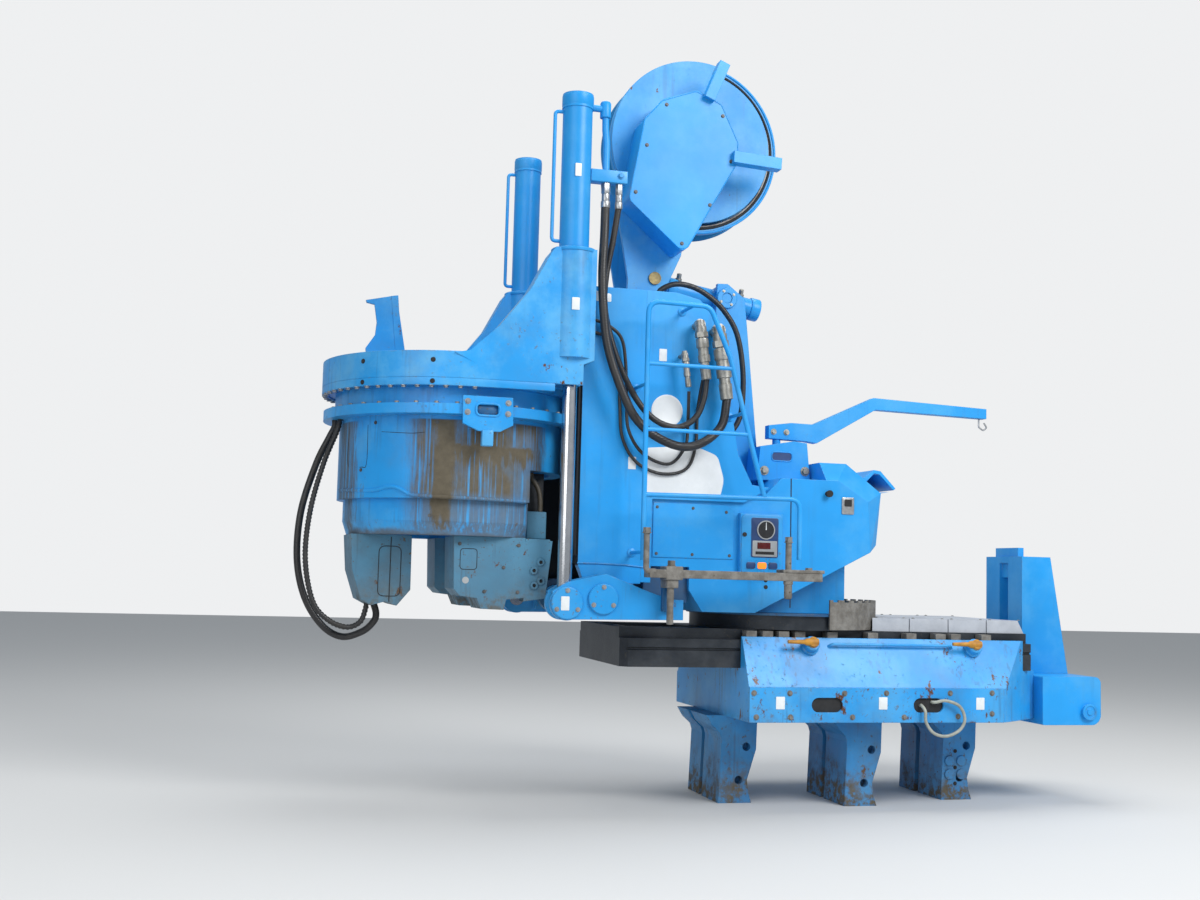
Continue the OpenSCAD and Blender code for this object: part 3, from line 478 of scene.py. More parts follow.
    def grease_and_shade_film(self, sheet: NodeSheet) -> Socket:
        """Old grease and painted shade, near black: on the guide faces in front, and on all that lies
        between the beams.

        Args:
            sheet: the material's sheet.

        Returns:
            The mask.
        """
        front, half_gap, top = self.greasy
        along, across, height = sheet.axes()
        faces = sheet.spread(along, front + 0.004, front + 0.002)
        inside = sheet.spread(sheet.maths("ABSOLUTE", across), half_gap + 0.003, half_gap + 0.001)
        below = sheet.spread(height, top - 0.026, top - 0.030)
        return sheet.maths("MAXIMUM", faces, sheet.times(inside, below), clamp=True)


@dataclass(frozen=True)
class PlainFinish(Finish):
    """Metal, rubber or plastic with mottling, fine relief and some mud."""

    colour: Colour
    second: Colour
    rough: float = 0.5
    metallic: float = 0.0
    mottle: float = 14.0
    relief: float = 0.3
    mud: float = 0.0
    mud_top: float = 0.4
    spatter: float = 0.1
    glow: float = 0.0
    slot: str = "dirty_steel"

    def build(self, kit: GroupKit) -> bpy.types.Material:
        """Makes the material.

        Args:
            kit: the shared groups.

        Returns:
            The material.
        """
        made, sheet, shader = self.start()
        tone = sheet.blend(
            sheet.patches((0.35, 0.68), self.mottle, 6.0, rough=0.65), self.colour, self.second
        )
        mud = sheet.group(kit.mud, Amount=self.mud, Top=self.mud_top, Spatter=self.spatter)["Mask"]
        rough = sheet.maths("MULTIPLY_ADD", sheet.noise(self.mottle * 2.0), 0.2, self.rough - 0.1)
        sheet.fill(
            shader,
            {
                "Base Color": sheet.blend(mud, tone, DRIED_MUD),
                "Roughness": sheet.maths("ADD", rough, sheet.times(mud, 0.4), clamp=True),
                "Metallic": self.metallic, "Normal": sheet.relief(sheet.noise(70.0), self.relief, 0.003)
            }
        )
        if self.glow:
            sheet.fill(shader, {"Emission Color": self.colour, "Emission Strength": self.glow})
        return made


@dataclass(frozen=True)
class BraidFinish(Finish):
    """Rubber hose with a fine ribbed cover, as waves along Z of Object coordinates."""

    colour: Colour = (0.016, 0.016, 0.017)
    ribs: float = 220.0
    slot: str = "rubber"

    def build(self, kit: GroupKit) -> bpy.types.Material:
        """Makes the material.

        Args:
            kit: the shared groups, none of which it needs.

        Returns:
            The material.
        """
        made, sheet, shader = self.start()
        dusty = sheet.patches((0.48, 0.72), 8.0, 5.0)
        facts = {"Vector": sheet.place(), "Scale": self.ribs / 6.0, "Distortion": 0.6}
        wave = sheet.add("ShaderNodeTexWave", facts, bands_direction="Z").outputs["Fac"]
        sheet.fill(
            shader,
            {
                "Base Color": sheet.blend(sheet.times(dusty, 0.30), self.colour, HOSE_DUST),
                "Roughness": sheet.maths("MULTIPLY_ADD", dusty, 0.3, 0.38, clamp=True),
                "Normal": sheet.relief(wave, 0.25, 0.002)
            }
        )
        return made


FINISHES: tuple[PaintFinish | PlainFinish | BraidFinish, ...] = (
    PaintFinish("mast_paint", wear=0.7, runs=0.20, spatter=0.10, fade=0.5),
    # the column's front faces and channel are darkened with grease and painted shade
    PaintFinish("column_paint", wear=0.7, runs=0.20, spatter=0.10, greasy=(-1.710, 0.500, 2.850)),
    PaintFinish("reel_paint", wear=0.7, runs=0.10, spatter=0.03),
    PaintFinish(
        "disc_paint", colour=(0.024, 0.320, 0.730), wear=1.0, rust=0.25, runs=0.4, spatter=0.2, fade=0.9,
        gloss=0.42
    ),
    PaintFinish("ring_paint", wear=1.0, rust=0.35, runs=0.45, spatter=0.5, fade=1.0),
    PaintFinish("drum_paint", wear=1.0, rust=0.2, runs=0.6, spatter=0.5, fade=0.6, splash=True),
    PaintFinish(
        "claw_paint", colour=(0.070, 0.215, 0.340), wear=1.0, rust=0.6, runs=0.9, spatter=1.0, mud=0.9,
        mud_top=1.15, gloss=0.5, slot="shade_paint"
    ),
    PaintFinish(
        "saddle_paint", wear=1.0, rust=0.85, runs=0.8, spatter=0.6, fade=0.7, mud=0.5, mud_top=0.47
    ),
    PaintFinish("apron_paint", wear=1.0, rust=1.4, runs=0.8, spatter=0.6, fade=0.6, mud=0.6, mud_top=0.49),
    PaintFinish(
        "clamp_paint", colour=(0.024, 0.250, 0.580), wear=1.0, rust=0.7, runs=0.8, spatter=1.0, mud=1.0,
        mud_top=0.20, gloss=0.5
    ),
    PaintFinish("foot_paint", colour=(0.014, 0.300, 0.720), wear=0.9, rust=0.2, runs=0.5, spatter=0.6),
    PaintFinish(
        "base_paint", colour=(0.010, 0.090, 0.230), wear=0.8, rust=0.5, runs=0.8, spatter=0.8, gloss=0.5
    ),
    PlainFinish(
        "greasy_steel", (0.010, 0.015, 0.022), (0.030, 0.036, 0.044), 0.42, 0.2, 6.0, 0.4, 0.1, 0.82, 0.35,
        slot="dark_steel"
    ),
    PlainFinish(
        "muddy_steel", (0.130, 0.120, 0.105), (0.230, 0.220, 0.200), 0.70, 0.2, 18.0, 0.8, 0.0, 0.4, 1.0
    ),
    PlainFinish("bright_rod", (0.55, 0.56, 0.58), (0.66, 0.67, 0.69), 0.16, 1.0, 3.0, 0.02, spatter=0.0),
    PlainFinish("cover_sheet", (0.44, 0.47, 0.52), (0.56, 0.59, 0.64), 0.38, 0.35, 5.0, 0.1, spatter=0.25),
    PlainFinish(
        "plated_steel", (0.250, 0.245, 0.215), (0.420, 0.410, 0.370), 0.40, 0.7, 22.0, 0.35, spatter=0.3
    ),
    PlainFinish(
        "clean_plating", (0.33, 0.34, 0.35), (0.45, 0.46, 0.47), 0.35, 0.85, 20.0, 0.2, spatter=0.1
    ),
    PlainFinish(
        "handle_amber", (0.560, 0.260, 0.020), (0.300, 0.130, 0.018), 0.55, 0.0, 12.0, 0.5, spatter=0.8
    ),
    PlainFinish(
        "drain_tube", (0.36, 0.38, 0.33), (0.24, 0.25, 0.21), 0.45, 0.0, 10.0, 0.2, spatter=0.3,
        slot="pale_hose"
    ),
    PlainFinish(
        "blank_field", (0.76, 0.79, 0.80), (0.68, 0.71, 0.72), 0.35, 0.0, 6.0, 0.05, spatter=0.15,
        slot="paint"
    ),
    # near black for seams and black parts, and painted shade where it fills holes, gaps and slots
    PlainFinish("hollow_dark", DARK, (0.012, 0.012, 0.013), 0.8, 0.0, 10.0, 0.1, spatter=0.0),
    PlainFinish(
        "old_screws", (0.070, 0.075, 0.080), (0.130, 0.130, 0.130), 0.50, 0.5, 22.0, 0.3, spatter=0.3
    ),
    PlainFinish("worn_rim", (0.460, 0.440, 0.410), (0.130, 0.090, 0.065), 0.55, 0.4, 9.0, 0.4, spatter=0.3),
    PlainFinish(
        "panel_navy", (0.012, 0.040, 0.130), (0.018, 0.060, 0.180), 0.4, 0.0, 9.0, 0.1, spatter=0.2,
        slot="dark_steel"
    ),
    PlainFinish(
        "panel_grey", (0.35, 0.37, 0.38), (0.28, 0.30, 0.31), 0.5, 0.0, 9.0, 0.1, spatter=0.2, slot="paint"
    ),
    PlainFinish(
        "display_red", (0.10, 0.008, 0.006), (0.06, 0.006, 0.005), 0.25, 0.0, 9.0, 0.02, spatter=0.0
    ),
    PlainFinish(
        "lamp_orange", (0.90, 0.22, 0.02), (0.80, 0.18, 0.02), 0.3, 0.0, 9.0, 0.02, spatter=0.0, glow=0.8
    ),
    PlainFinish(
        "brass_pin", (0.24, 0.19, 0.085), (0.16, 0.13, 0.07), 0.4, 0.8, 18.0, 0.3, spatter=0.2, slot="brass"
    ),
    BraidFinish("hose_rubber"), BraidFinish("muddy_hose", colour=(0.085, 0.072, 0.052)),
)


class Rule:
    """A Geometry Nodes tree with a geometry going in and out, which runs on one piece at a time."""

    def __init__(self, name: str, numbers: tuple[str, ...], counts: tuple[str, ...] = ()) -> None:
        """Starts the tree.

        Args:
            name: the tree's name.
            numbers: its inputs that are lengths.
            counts: its inputs that are whole numbers.
        """
        self.tree = bpy.data.node_groups.new(name, "GeometryNodeTree")
        self.tree.is_modifier = True
        kinds = {
            "Geometry": "NodeSocketGeometry", **dict.fromkeys(numbers, "NodeSocketFloat"),
            **dict.fromkeys(counts, "NodeSocketInt"), "Finish": "NodeSocketMaterial"
        }
        new = self.tree.interface.new_socket
        self.inputs = {
            label: new(label, in_out="INPUT", socket_type=kind).identifier for label, kind in kinds.items()
        }
        new("Geometry", in_out="OUTPUT", socket_type="NodeSocketGeometry")
        self.sheet = NodeSheet(self.tree)
        self.given = self.sheet.add("NodeGroupInput").outputs

    def end(self, shape: Socket) -> Rule:
        """Realizes the instances, sets the material and ends the tree.

        Args:
            shape: what the tree has made.

        Returns:
            This rule.
        """
        real = self.sheet.add("GeometryNodeRealizeInstances", {"Geometry": shape}).outputs[0]
        facts = {"Geometry": real, "Material": self.given["Finish"]}
        self.sheet.add("NodeGroupOutput", {0: self.sheet.add("GeometryNodeSetMaterial", facts).outputs[0]})
        return self

    def curve(self) -> Socket:
        """The piece's edges as a curve."""
        return self.sheet.add("GeometryNodeMeshToCurve", {0: self.given["Geometry"]}).outputs[0]

    def run(self, piece: Piece, values: dict[str, object]) -> None:
        """Runs the tree on a piece's mesh.

        Args:
            piece: the piece.
            values: the inputs by name.
        """
        modifier = piece.modifiers.new("rule", "NODES")
        modifier.node_group = self.tree
        for label, value in values.items():
            modifier[self.inputs[label]] = value
        settle(piece)


def settle(piece: Piece) -> None:
    """Turns a piece's modifiers into plain mesh and removes them.

    Args:
        piece: the piece.
    """
    bpy.context.view_layer.update()
    whole = bpy.data.meshes.new_from_object(piece.evaluated_get(bpy.context.evaluated_depsgraph_get()))
    piece.modifiers.clear()
    old, piece.data = piece.data, whole
    bpy.data.meshes.remove(old)


def bolt_rule() -> Rule:
    """A bolt head on a washer at every vertex, along the attribute called facing."""
    rule = Rule("bolt_field", ("Head radius", "Head height", "Washer radius", "Washer height"), ("Sides",))
    sheet, given = rule.sheet, rule.given
    stack = []
    lift: Socket | float = 0.0
    for part, sides in (("Washer", WASHER_SIDES), ("Head", given["Sides"])):
        height = given[f"{part} height"]
        facts = {"Vertices": sides, "Radius": given[f"{part} radius"], "Depth": height}
        disc = sheet.add("GeometryNodeMeshCylinder", facts).outputs["Mesh"]
        offset = sheet.add(
            "ShaderNodeCombineXYZ", {"Z": sheet.maths("ADD", lift, sheet.times(height, 0.5))}
        ).outputs[0]
        stack.append(
            sheet.add("GeometryNodeTransform", {"Geometry": disc, "Translation": offset}).outputs[0]
        )
        lift = height
    both = sheet.add("GeometryNodeJoinGeometry")
    for shape in stack:
        sheet.feed(both.inputs[0], shape)
    facing = sheet.add("GeometryNodeInputNamedAttribute", data_type="FLOAT_VECTOR")
    facing.inputs["Name"].default_value = "facing"
    turn = sheet.add(
        "FunctionNodeAlignRotationToVector", {"Vector": facing.outputs["Attribute"]}, axis="Z"
    ).outputs[0]
    facts = {"Points": given["Geometry"], "Instance": both.outputs[0], "Rotation": turn}
    return rule.end(sheet.add("GeometryNodeInstanceOnPoints", facts).outputs[0])


def tube_rule() -> Rule:
    """A round tube swept along the mesh's edges."""
    rule = Rule("round_tube", ("Radius",), ("Sides",))
    facts = {"Resolution": rule.given["Sides"], "Radius": rule.given["Radius"]}
    ring = rule.sheet.add("GeometryNodeCurvePrimitiveCircle", facts).outputs[0]
    sweep = {"Curve": rule.curve(), "Profile Curve": ring, "Fill Caps": True}
    return rule.end(rule.sheet.add("GeometryNodeCurveToMesh", sweep).outputs[0])


def ring_rule() -> Rule:
    """Short rings threaded along the mesh's edges, as on an armoured hose."""
    rule = Rule("ring_row", ("Spacing", "Ring radius", "Ring length"))
    facts = {"Curve": rule.curve(), "Length": rule.given["Spacing"]}
    spots = rule.sheet.add("GeometryNodeCurveToPoints", facts, mode="LENGTH").outputs
    facts = {
        "Vertices": LINK_SIDES, "Radius": rule.given["Ring radius"], "Depth": rule.given["Ring length"]
    }
    bead = rule.sheet.add("GeometryNodeMeshCylinder", facts).outputs["Mesh"]
    facts = {"Points": spots["Points"], "Instance": bead, "Rotation": spots["Rotation"]}
    return rule.end(rule.sheet.add("GeometryNodeInstanceOnPoints", facts).outputs[0])


class Stock:
    """The finishes and the Geometry Nodes rules, built once."""

    def __init__(self) -> None:
        """Builds them."""
        kit = GroupKit()
        self.finish = {finish.name: finish.build(kit) for finish in FINISHES}
        self.slot = {finish.name: finish.slot for finish in FINISHES}
        self.bolt_field, self.round_tube, self.ring_row = bolt_rule(), tube_rule(), ring_rule()


@dataclass
class Bench:
    """Makes a sub-assembly's meshes, dresses them and puts them on their bodies.

    The methods that make a piece pass slot, body and ride on to seat.
    """

    stock: Stock
    body: Part = Part.MAST

    @staticmethod
    def hold(name: str, mesh: bpy.types.Mesh) -> Piece:
        """Puts a mesh into the scene as an object at the origin.

        Args:
            name: the object's name.
            mesh: its mesh.

        Returns:
            The object.
        """
        made = bpy.data.objects.new(name, mesh)
        bpy.context.scene.collection.objects.link(made)
        return made

    def seat(
        self, piece: Piece, finish: str, slot: str = "", body: Part | None = None, ride: bool = True
    ) -> Piece:
        """Shades a piece and makes it ride.

        Args:
            piece: the piece.
            finish: its finish.
            slot: the record's material slot, or none for the finish's own; not used.
            body: its body, or none for the sub-assembly's own.
            ride: whether it is finished now, or joined to others first.

        Returns:
            The piece.
        """
        if not ride:
            return piece
        slot, body = slot or self.stock.slot[finish], body or self.body
        self.shade(piece)
        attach(piece, body.value)
        LOG.info("%s rides on %s: %d faces", piece.name, body.value, len(piece.data.polygons))
        return piece

    @staticmethod
    def shade(piece: Piece) -> None:
        """Smooths a piece and keeps its sharp edges."""
        piece.data.shade_smooth()
        piece.data.set_sharp_from_angle(angle=math.radians(SHARP_ANGLE))

    def bolts(
        self, name: str, places: list[Point], facing: Facing | list[Point], head: float = 0.011,
        finish: str = "plated_steel", high: float = 0.0, washer: float = 0.0, sides: int = 6,
        **place: object
    ) -> Piece:
        """Bolt heads at given places.

        Args:
            name: the piece's name.
            places: where each washer sits.
            facing: one way for all, or a direction for each.
            head: the head's radius.
            finish: the material.
            high: the head's height, or 0 for the usual.
            washer: the washer's radius, or 0 for the usual.
            sides: the head's sides.
            place: slot or body.

        Returns:
            The piece.
        """
        mesh = bpy.data.meshes.new(name)
        mesh.from_pydata(places, [], [])
        ways = [facing.value] * len(places) if isinstance(facing, Facing) else facing
        held = mesh.attributes.new("facing", "FLOAT_VECTOR", "POINT")
        held.data.foreach_set("vector", [c for way in ways for c in way])
        piece = self.hold(name, mesh)
        self.stock.bolt_field.run(
            piece,
            {
                "Head radius": head, "Head height": high or head * HEAD_SHARE,
                "Washer radius": washer or head * WASHER_SHARE, "Washer height": head * WASHER_THICK,
                "Sides": sides, "Finish": self.stock.finish[finish]
            }
        )
        return self.seat(piece, finish, **place)

    @staticmethod
    def smooth(points: list[Point], steps: int = 8) -> list[Vector]:
        """A smooth line through points.

        Args:
            points: the points.
            steps: parts between one point and the next.

        Returns:
            The line's points.
        """
        knots = [Vector(p) for p in points]
        knots = [2 * knots[0] - knots[1], *knots, 2 * knots[-1] - knots[-2]]
        line = []
        for a, b, c, d in zip(knots, knots[1:], knots[2:], knots[3:]):
            for t in (i / steps for i in range(steps)):
                square, cube = (2 * a - 5 * b + 4 * c - d) * t * t, (3 * b - a - 3 * c + d) * t ** 3
                line.append(0.5 * (2 * b + (c - a) * t + square + cube))
        return [*line, knots[-2]]

    @staticmethod
    def bend(start: Vector, corner: Vector, end: Vector, steps: int) -> list[Vector]:
        """A round bend from one point to another by way of a corner."""
        shares = [i / steps for i in range(steps + 1)]
        return [(1 - t) ** 2 * start + 2 * t * (1 - t) * corner + t * t * end for t in shares]

    @classmethod
    def rounded(cls, points: list[Point], radius: float, steps: int = 8) -> list[Vector]:
        """Straight runs with round bends.

        Args:
            points: the corners.
            radius: the bends' radius.
            steps: parts of a bend.

        Returns:
            The line's points.
        """
        corners = [Vector(p) for p in points]
        line = [corners[0]]
        for a, p, b in zip(corners, corners[1:], corners[2:]):
            u, v = (a - p).normalized(), (b - p).normalized()
            back = min(
                radius / math.tan(u.angle(v) / 2), (a - p).length * LEG_SHARE, (b - p).length * LEG_SHARE
            )
            line += cls.bend(p + u * back, p, p + v * back, steps)
        return [*line, corners[-1]]

    @classmethod
    def round_corners(cls, outline: list[Flat], radius: float, steps: int = 6) -> list[Flat]:
        """An outline with its corners rounded.

        Args:
            outline: the corners.
            radius: the rounding.
            steps: parts of a corner.

        Returns:
            The rounded outline.
        """
        made = []
        count = len(outline)
        for k in range(count):
            a, p, b = (Vector(outline[(k + i) % count]) for i in (-1, 0, 1))
            u, v = (a - p), (b - p)
            back = min(radius, u.length * LEG_SHARE, v.length * LEG_SHARE)
            made += cls.bend(p + u.normalized() * back, p, p + v.normalized() * back, steps)
        return [(spot.x, spot.y) for spot in made]

    @classmethod
    def pane(cls, low: Flat, high: Flat, corner: float = 0.0) -> list[Flat]:
        """The outline between two corners, with its corners rounded or sharp."""
        sharp = [low, (high[0], low[1]), high, (low[0], high[1])]
        return cls.round_corners(sharp, corner) if corner else sharp

    @staticmethod
    def closed(outline: list[Flat], y: float) -> list[Vector]:
        """An outline as a closed line at one Y."""
        return [Vector((x, y, z)) for x, z in [*outline, outline[0]]]

    def line_piece(self, name: str, line: list[Vector]) -> Piece:
        """A piece of bare edges along a line.

        Args:
            name: the piece's name.
            line: its points.

        Returns:
            The piece.
        """
        mesh = bpy.data.meshes.new(name)
        mesh.from_pydata([tuple(p) for p in line], [(i, i + 1) for i in range(len(line) - 1)], [])
        return self.hold(name, mesh)

    def tube(
        self, name: str, line: list[Vector], radius: float, finish: str = "mast_paint", sides: int = 16,
        **place: object
    ) -> Piece:
        """A round tube along a line.

        Args:
            name: the piece's name.
            line: the line's points.
            radius: the tube's radius.
            finish: the material.
            sides: the tube's sides.
            place: slot, body or ride.

        Returns:
            The piece.
        """
        piece = self.line_piece(name, line)
        values = {"Radius": radius, "Sides": sides, "Finish": self.stock.finish[finish]}
        self.stock.round_tube.run(piece, values)
        return self.seat(piece, finish, **place)

    def rings(
        self, name: str, line: list[Vector], spacing: float, radius: float, length: float, finish: str
    ) -> Piece:
        """Short rings threaded along a line, as on an armoured hose.

        Args:
            name: the piece's name.
            line: the line's points.
            spacing: from one ring to the next.
            radius: a ring's radius.
            length: a ring's length.
            finish: the material.

        Returns:
            The piece.
        """
        piece = self.line_piece(name, line)
        values = {
            "Spacing": spacing, "Ring radius": radius, "Ring length": length,
            "Finish": self.stock.finish[finish]
        }
        self.stock.ring_row.run(piece, values)
        return self.seat(piece, finish)

    def lathe(
        self, name: str, foot: Point, axis: Facing | Point, profile: list[Flat], finish: str = "mast_paint",
        sides: int = 40, **place: object
    ) -> Piece:
        """A turned piece.

        Args:
            name: the piece's name.
            foot: where the profile's height is 0.
            axis: the way the height grows.
            profile: radius and height, from the foot up; a ring ends where it starts.
            finish: the material.
            sides: faces round it.
            place: slot, body or ride.

        Returns:
            The piece.
        """
        shape = bmesh.new()
        turn = Vector(axis.value if isinstance(axis, Facing) else axis).normalized().to_track_quat("Z", "Y")
        angles = [math.tau * k / sides for k in range(sides)]
        loops = []
        for radius, height in profile:
            spots = [Vector((radius * math.cos(a), radius * math.sin(a), height)) for a in angles]
            loops.append([shape.verts.new(Vector(foot) + turn @ spot) for spot in spots])
        self.skin(shape, loops)
        if profile[0] != profile[-1]:
            shape.faces.new(list(reversed(loops[0])))
            shape.faces.new(loops[-1])
        bmesh.ops.remove_doubles(shape, verts=shape.verts, dist=MERGE_GAP)
        return self.close_shape(name, shape, finish, 0.0, **place)

    @staticmethod
    def skin(shape: bmesh.types.BMesh, loops: list[list[bmesh.types.BMVert]]) -> None:
        """Faces between each loop of vertices and the next.

        Args:
            shape: where the faces go.
            loops: the loops, each with as many vertices.
        """
        for low, up in zip(loops, loops[1:]):
            for k in range(len(low)):
                after = (k + 1) % len(low)
                shape.faces.new((low[k], low[after], up[after], up[k]))

    def close_shape(
        self, name: str, shape: bmesh.types.BMesh, finish: str, bevel: float, **place: object
    ) -> Piece:
        """Turns a bmesh into a piece whose faces point outwards.

        Args:
            name: the piece's name.
            shape: its mesh in work.
            finish: the material.
            bevel: the width of its broken edges, or 0.
            place: slot, body or ride.

        Returns:
            The piece.
        """
        bmesh.ops.recalc_face_normals(shape, faces=shape.faces)
        piece = self.hold(name, self.mesh_of(name, shape, [self.stock.finish[finish]]))
        if bevel:
            edge = piece.modifiers.new("broken_edges", "BEVEL")
            edge.width, edge.segments = bevel, BROKEN_STEPS
            edge.limit_method, edge.angle_limit = "ANGLE", math.radians(BROKEN_ANGLE)
            settle(piece)
        return self.seat(piece, finish, **place)

    @staticmethod
    def mesh_of(name: str, shape: bmesh.types.BMesh, finishes: list[bpy.types.Material]) -> bpy.types.Mesh:
        """A mesh with its materials from a bmesh, which is freed.

        Args:
            name: the mesh's name.
            shape: the bmesh.
            finishes: the materials, in order.

        Returns:
            The mesh.
        """
        mesh = bpy.data.meshes.new(name)
        shape.to_mesh(mesh)
        shape.free()
        for finish in finishes:
            mesh.materials.append(finish)
        return mesh

    def slab(
        self, name: str, outline: list[Flat], near: float, far: float, finish: str = "mast_paint",
        bevel: float = 0.002, **place: object
    ) -> Piece:
        """A plate whose outline is in X and Z.

        Args:
            name: the piece's name.
            outline: its corners.
            near: the Y of one face.
            far: the Y of the other.
            finish: the material.
            bevel: the width of its broken edges.
            place: slot, body or ride.

        Returns:
            The piece.
        """
        shape = bmesh.new()
        fronts, backs = ([shape.verts.new((x, y, z)) for x, z in outline] for y in sorted((near, far)))
        shape.faces.new(fronts)
        shape.faces.new(list(reversed(backs)))
        for k in range(len(outline)):
            after = (k + 1) % len(outline)
            shape.faces.new((fronts[k], backs[k], backs[after], fronts[after]))
        return self.close_shape(name, shape, finish, bevel, **place)

    def block(
        self, name: str, low: Point, high: Point, finish: str = "mast_paint", bevel: float = 0.003,
        **place: object
    ) -> Piece:
        """A block with broken edges between two corners."""
        outline = self.pane((low[0], low[2]), (high[0], high[2]))
        return self.slab(name, outline, low[1], high[1], finish, bevel, **place)

    def join(self, name: str, pieces: list[Piece], slot: str, **place: object) -> Piece:
        """Joins unfinished pieces into one.

        Args:
            name: the new piece's name.
            pieces: the pieces, whose materials are kept.
            slot: the record's slot.
            place: body.

        Returns:
            The piece.
        """
        shape = bmesh.new()
        finishes: list[bpy.types.Material] = []
        for piece in pieces:
            start = len(shape.faces)
            shape.from_mesh(piece.data)
            shape.faces.ensure_lookup_table()
            own = piece.data.materials[0]
            if own not in finishes:
                finishes.append(own)
            for face in shape.faces[start:]:
                face.material_index = finishes.index(own)
            old = piece.data
            bpy.data.objects.remove(piece)
            bpy.data.meshes.remove(old)
        return self.seat(self.hold(name, self.mesh_of(name, shape, finishes)), "", slot, **place)


@dataclass
class Painting:
    """The finish of each CAD node that stays in view."""

    nodes: dict[str, str] = field(
        default_factory=lambda: {
            "saddle_frame": "saddle_paint", "saddle_aprons": "apron_paint", "hold_downs": "muddy_steel",
            "clamp_leg_1": "clamp_paint", "clamp_leg_2": "clamp_paint", "clamp_leg_3": "clamp_paint",
            "clamp_jaw_1": "clamp_paint", "clamp_jaw_2": "clamp_paint", "clamp_jaw_3": "clamp_paint",
            "rear_box": "mast_paint", "rear_post": "mast_paint", "slide_frame": "greasy_steel",
            "slide_cover": "cover_sheet", "turn_ring": "greasy_steel", "turn_base": "base_paint",
            "turn_housing": "mast_paint", "ring_guard": "muddy_steel", "control_panel": "mast_paint",
            "tilt_bracket": "mast_paint", "hose_post": "mast_paint", "rear_hood": "mast_paint",
            "hose_arm": "mast_paint", "tilt_barrel": "mast_paint", "tilt_rod": "bright_rod",
            "mast_column": "column_paint", "mast_shell": "mast_paint", "mast_foot": "foot_paint",
            "press_rods": "bright_rod", "reel_arm": "disc_paint", "reel_cover": "reel_paint",
            "hose_reel": "disc_paint", "reel_hose": "hose_rubber", "chuck_frame": "ring_paint",
            "press_barrels": "mast_paint", "pile_guides": "ring_paint", "chuck_drum": "drum_paint",
            "chuck_claw": "claw_paint", "chuck_jaw_near": "claw_paint", "chuck_jaw_far": "claw_paint",
            "saddle_valves": "saddle_paint", "drain_loop": "drain_tube", "couplings": "plated_steel",
            "ladder": "mast_paint", "step_bar": "muddy_steel", "grab_rails": "mast_paint",
            "manifold": "mast_paint", "press_hoses": "hose_rubber", "chuck_hoses": "hose_rubber",
            "mast_hoses": "hose_rubber",
        }
    )

    def apply(self, frame: dict, stock: Stock) -> None:
        """Gives every CAD node its finish.

        Args:
            stock: the finishes.
        """
        for node, finish in self.nodes.items():
            mesh = frame["nodes"][node].data
            mesh.materials.clear()
            mesh.materials.append(stock.finish[finish])
            LOG.info("%s is finished as %s", node, finish)


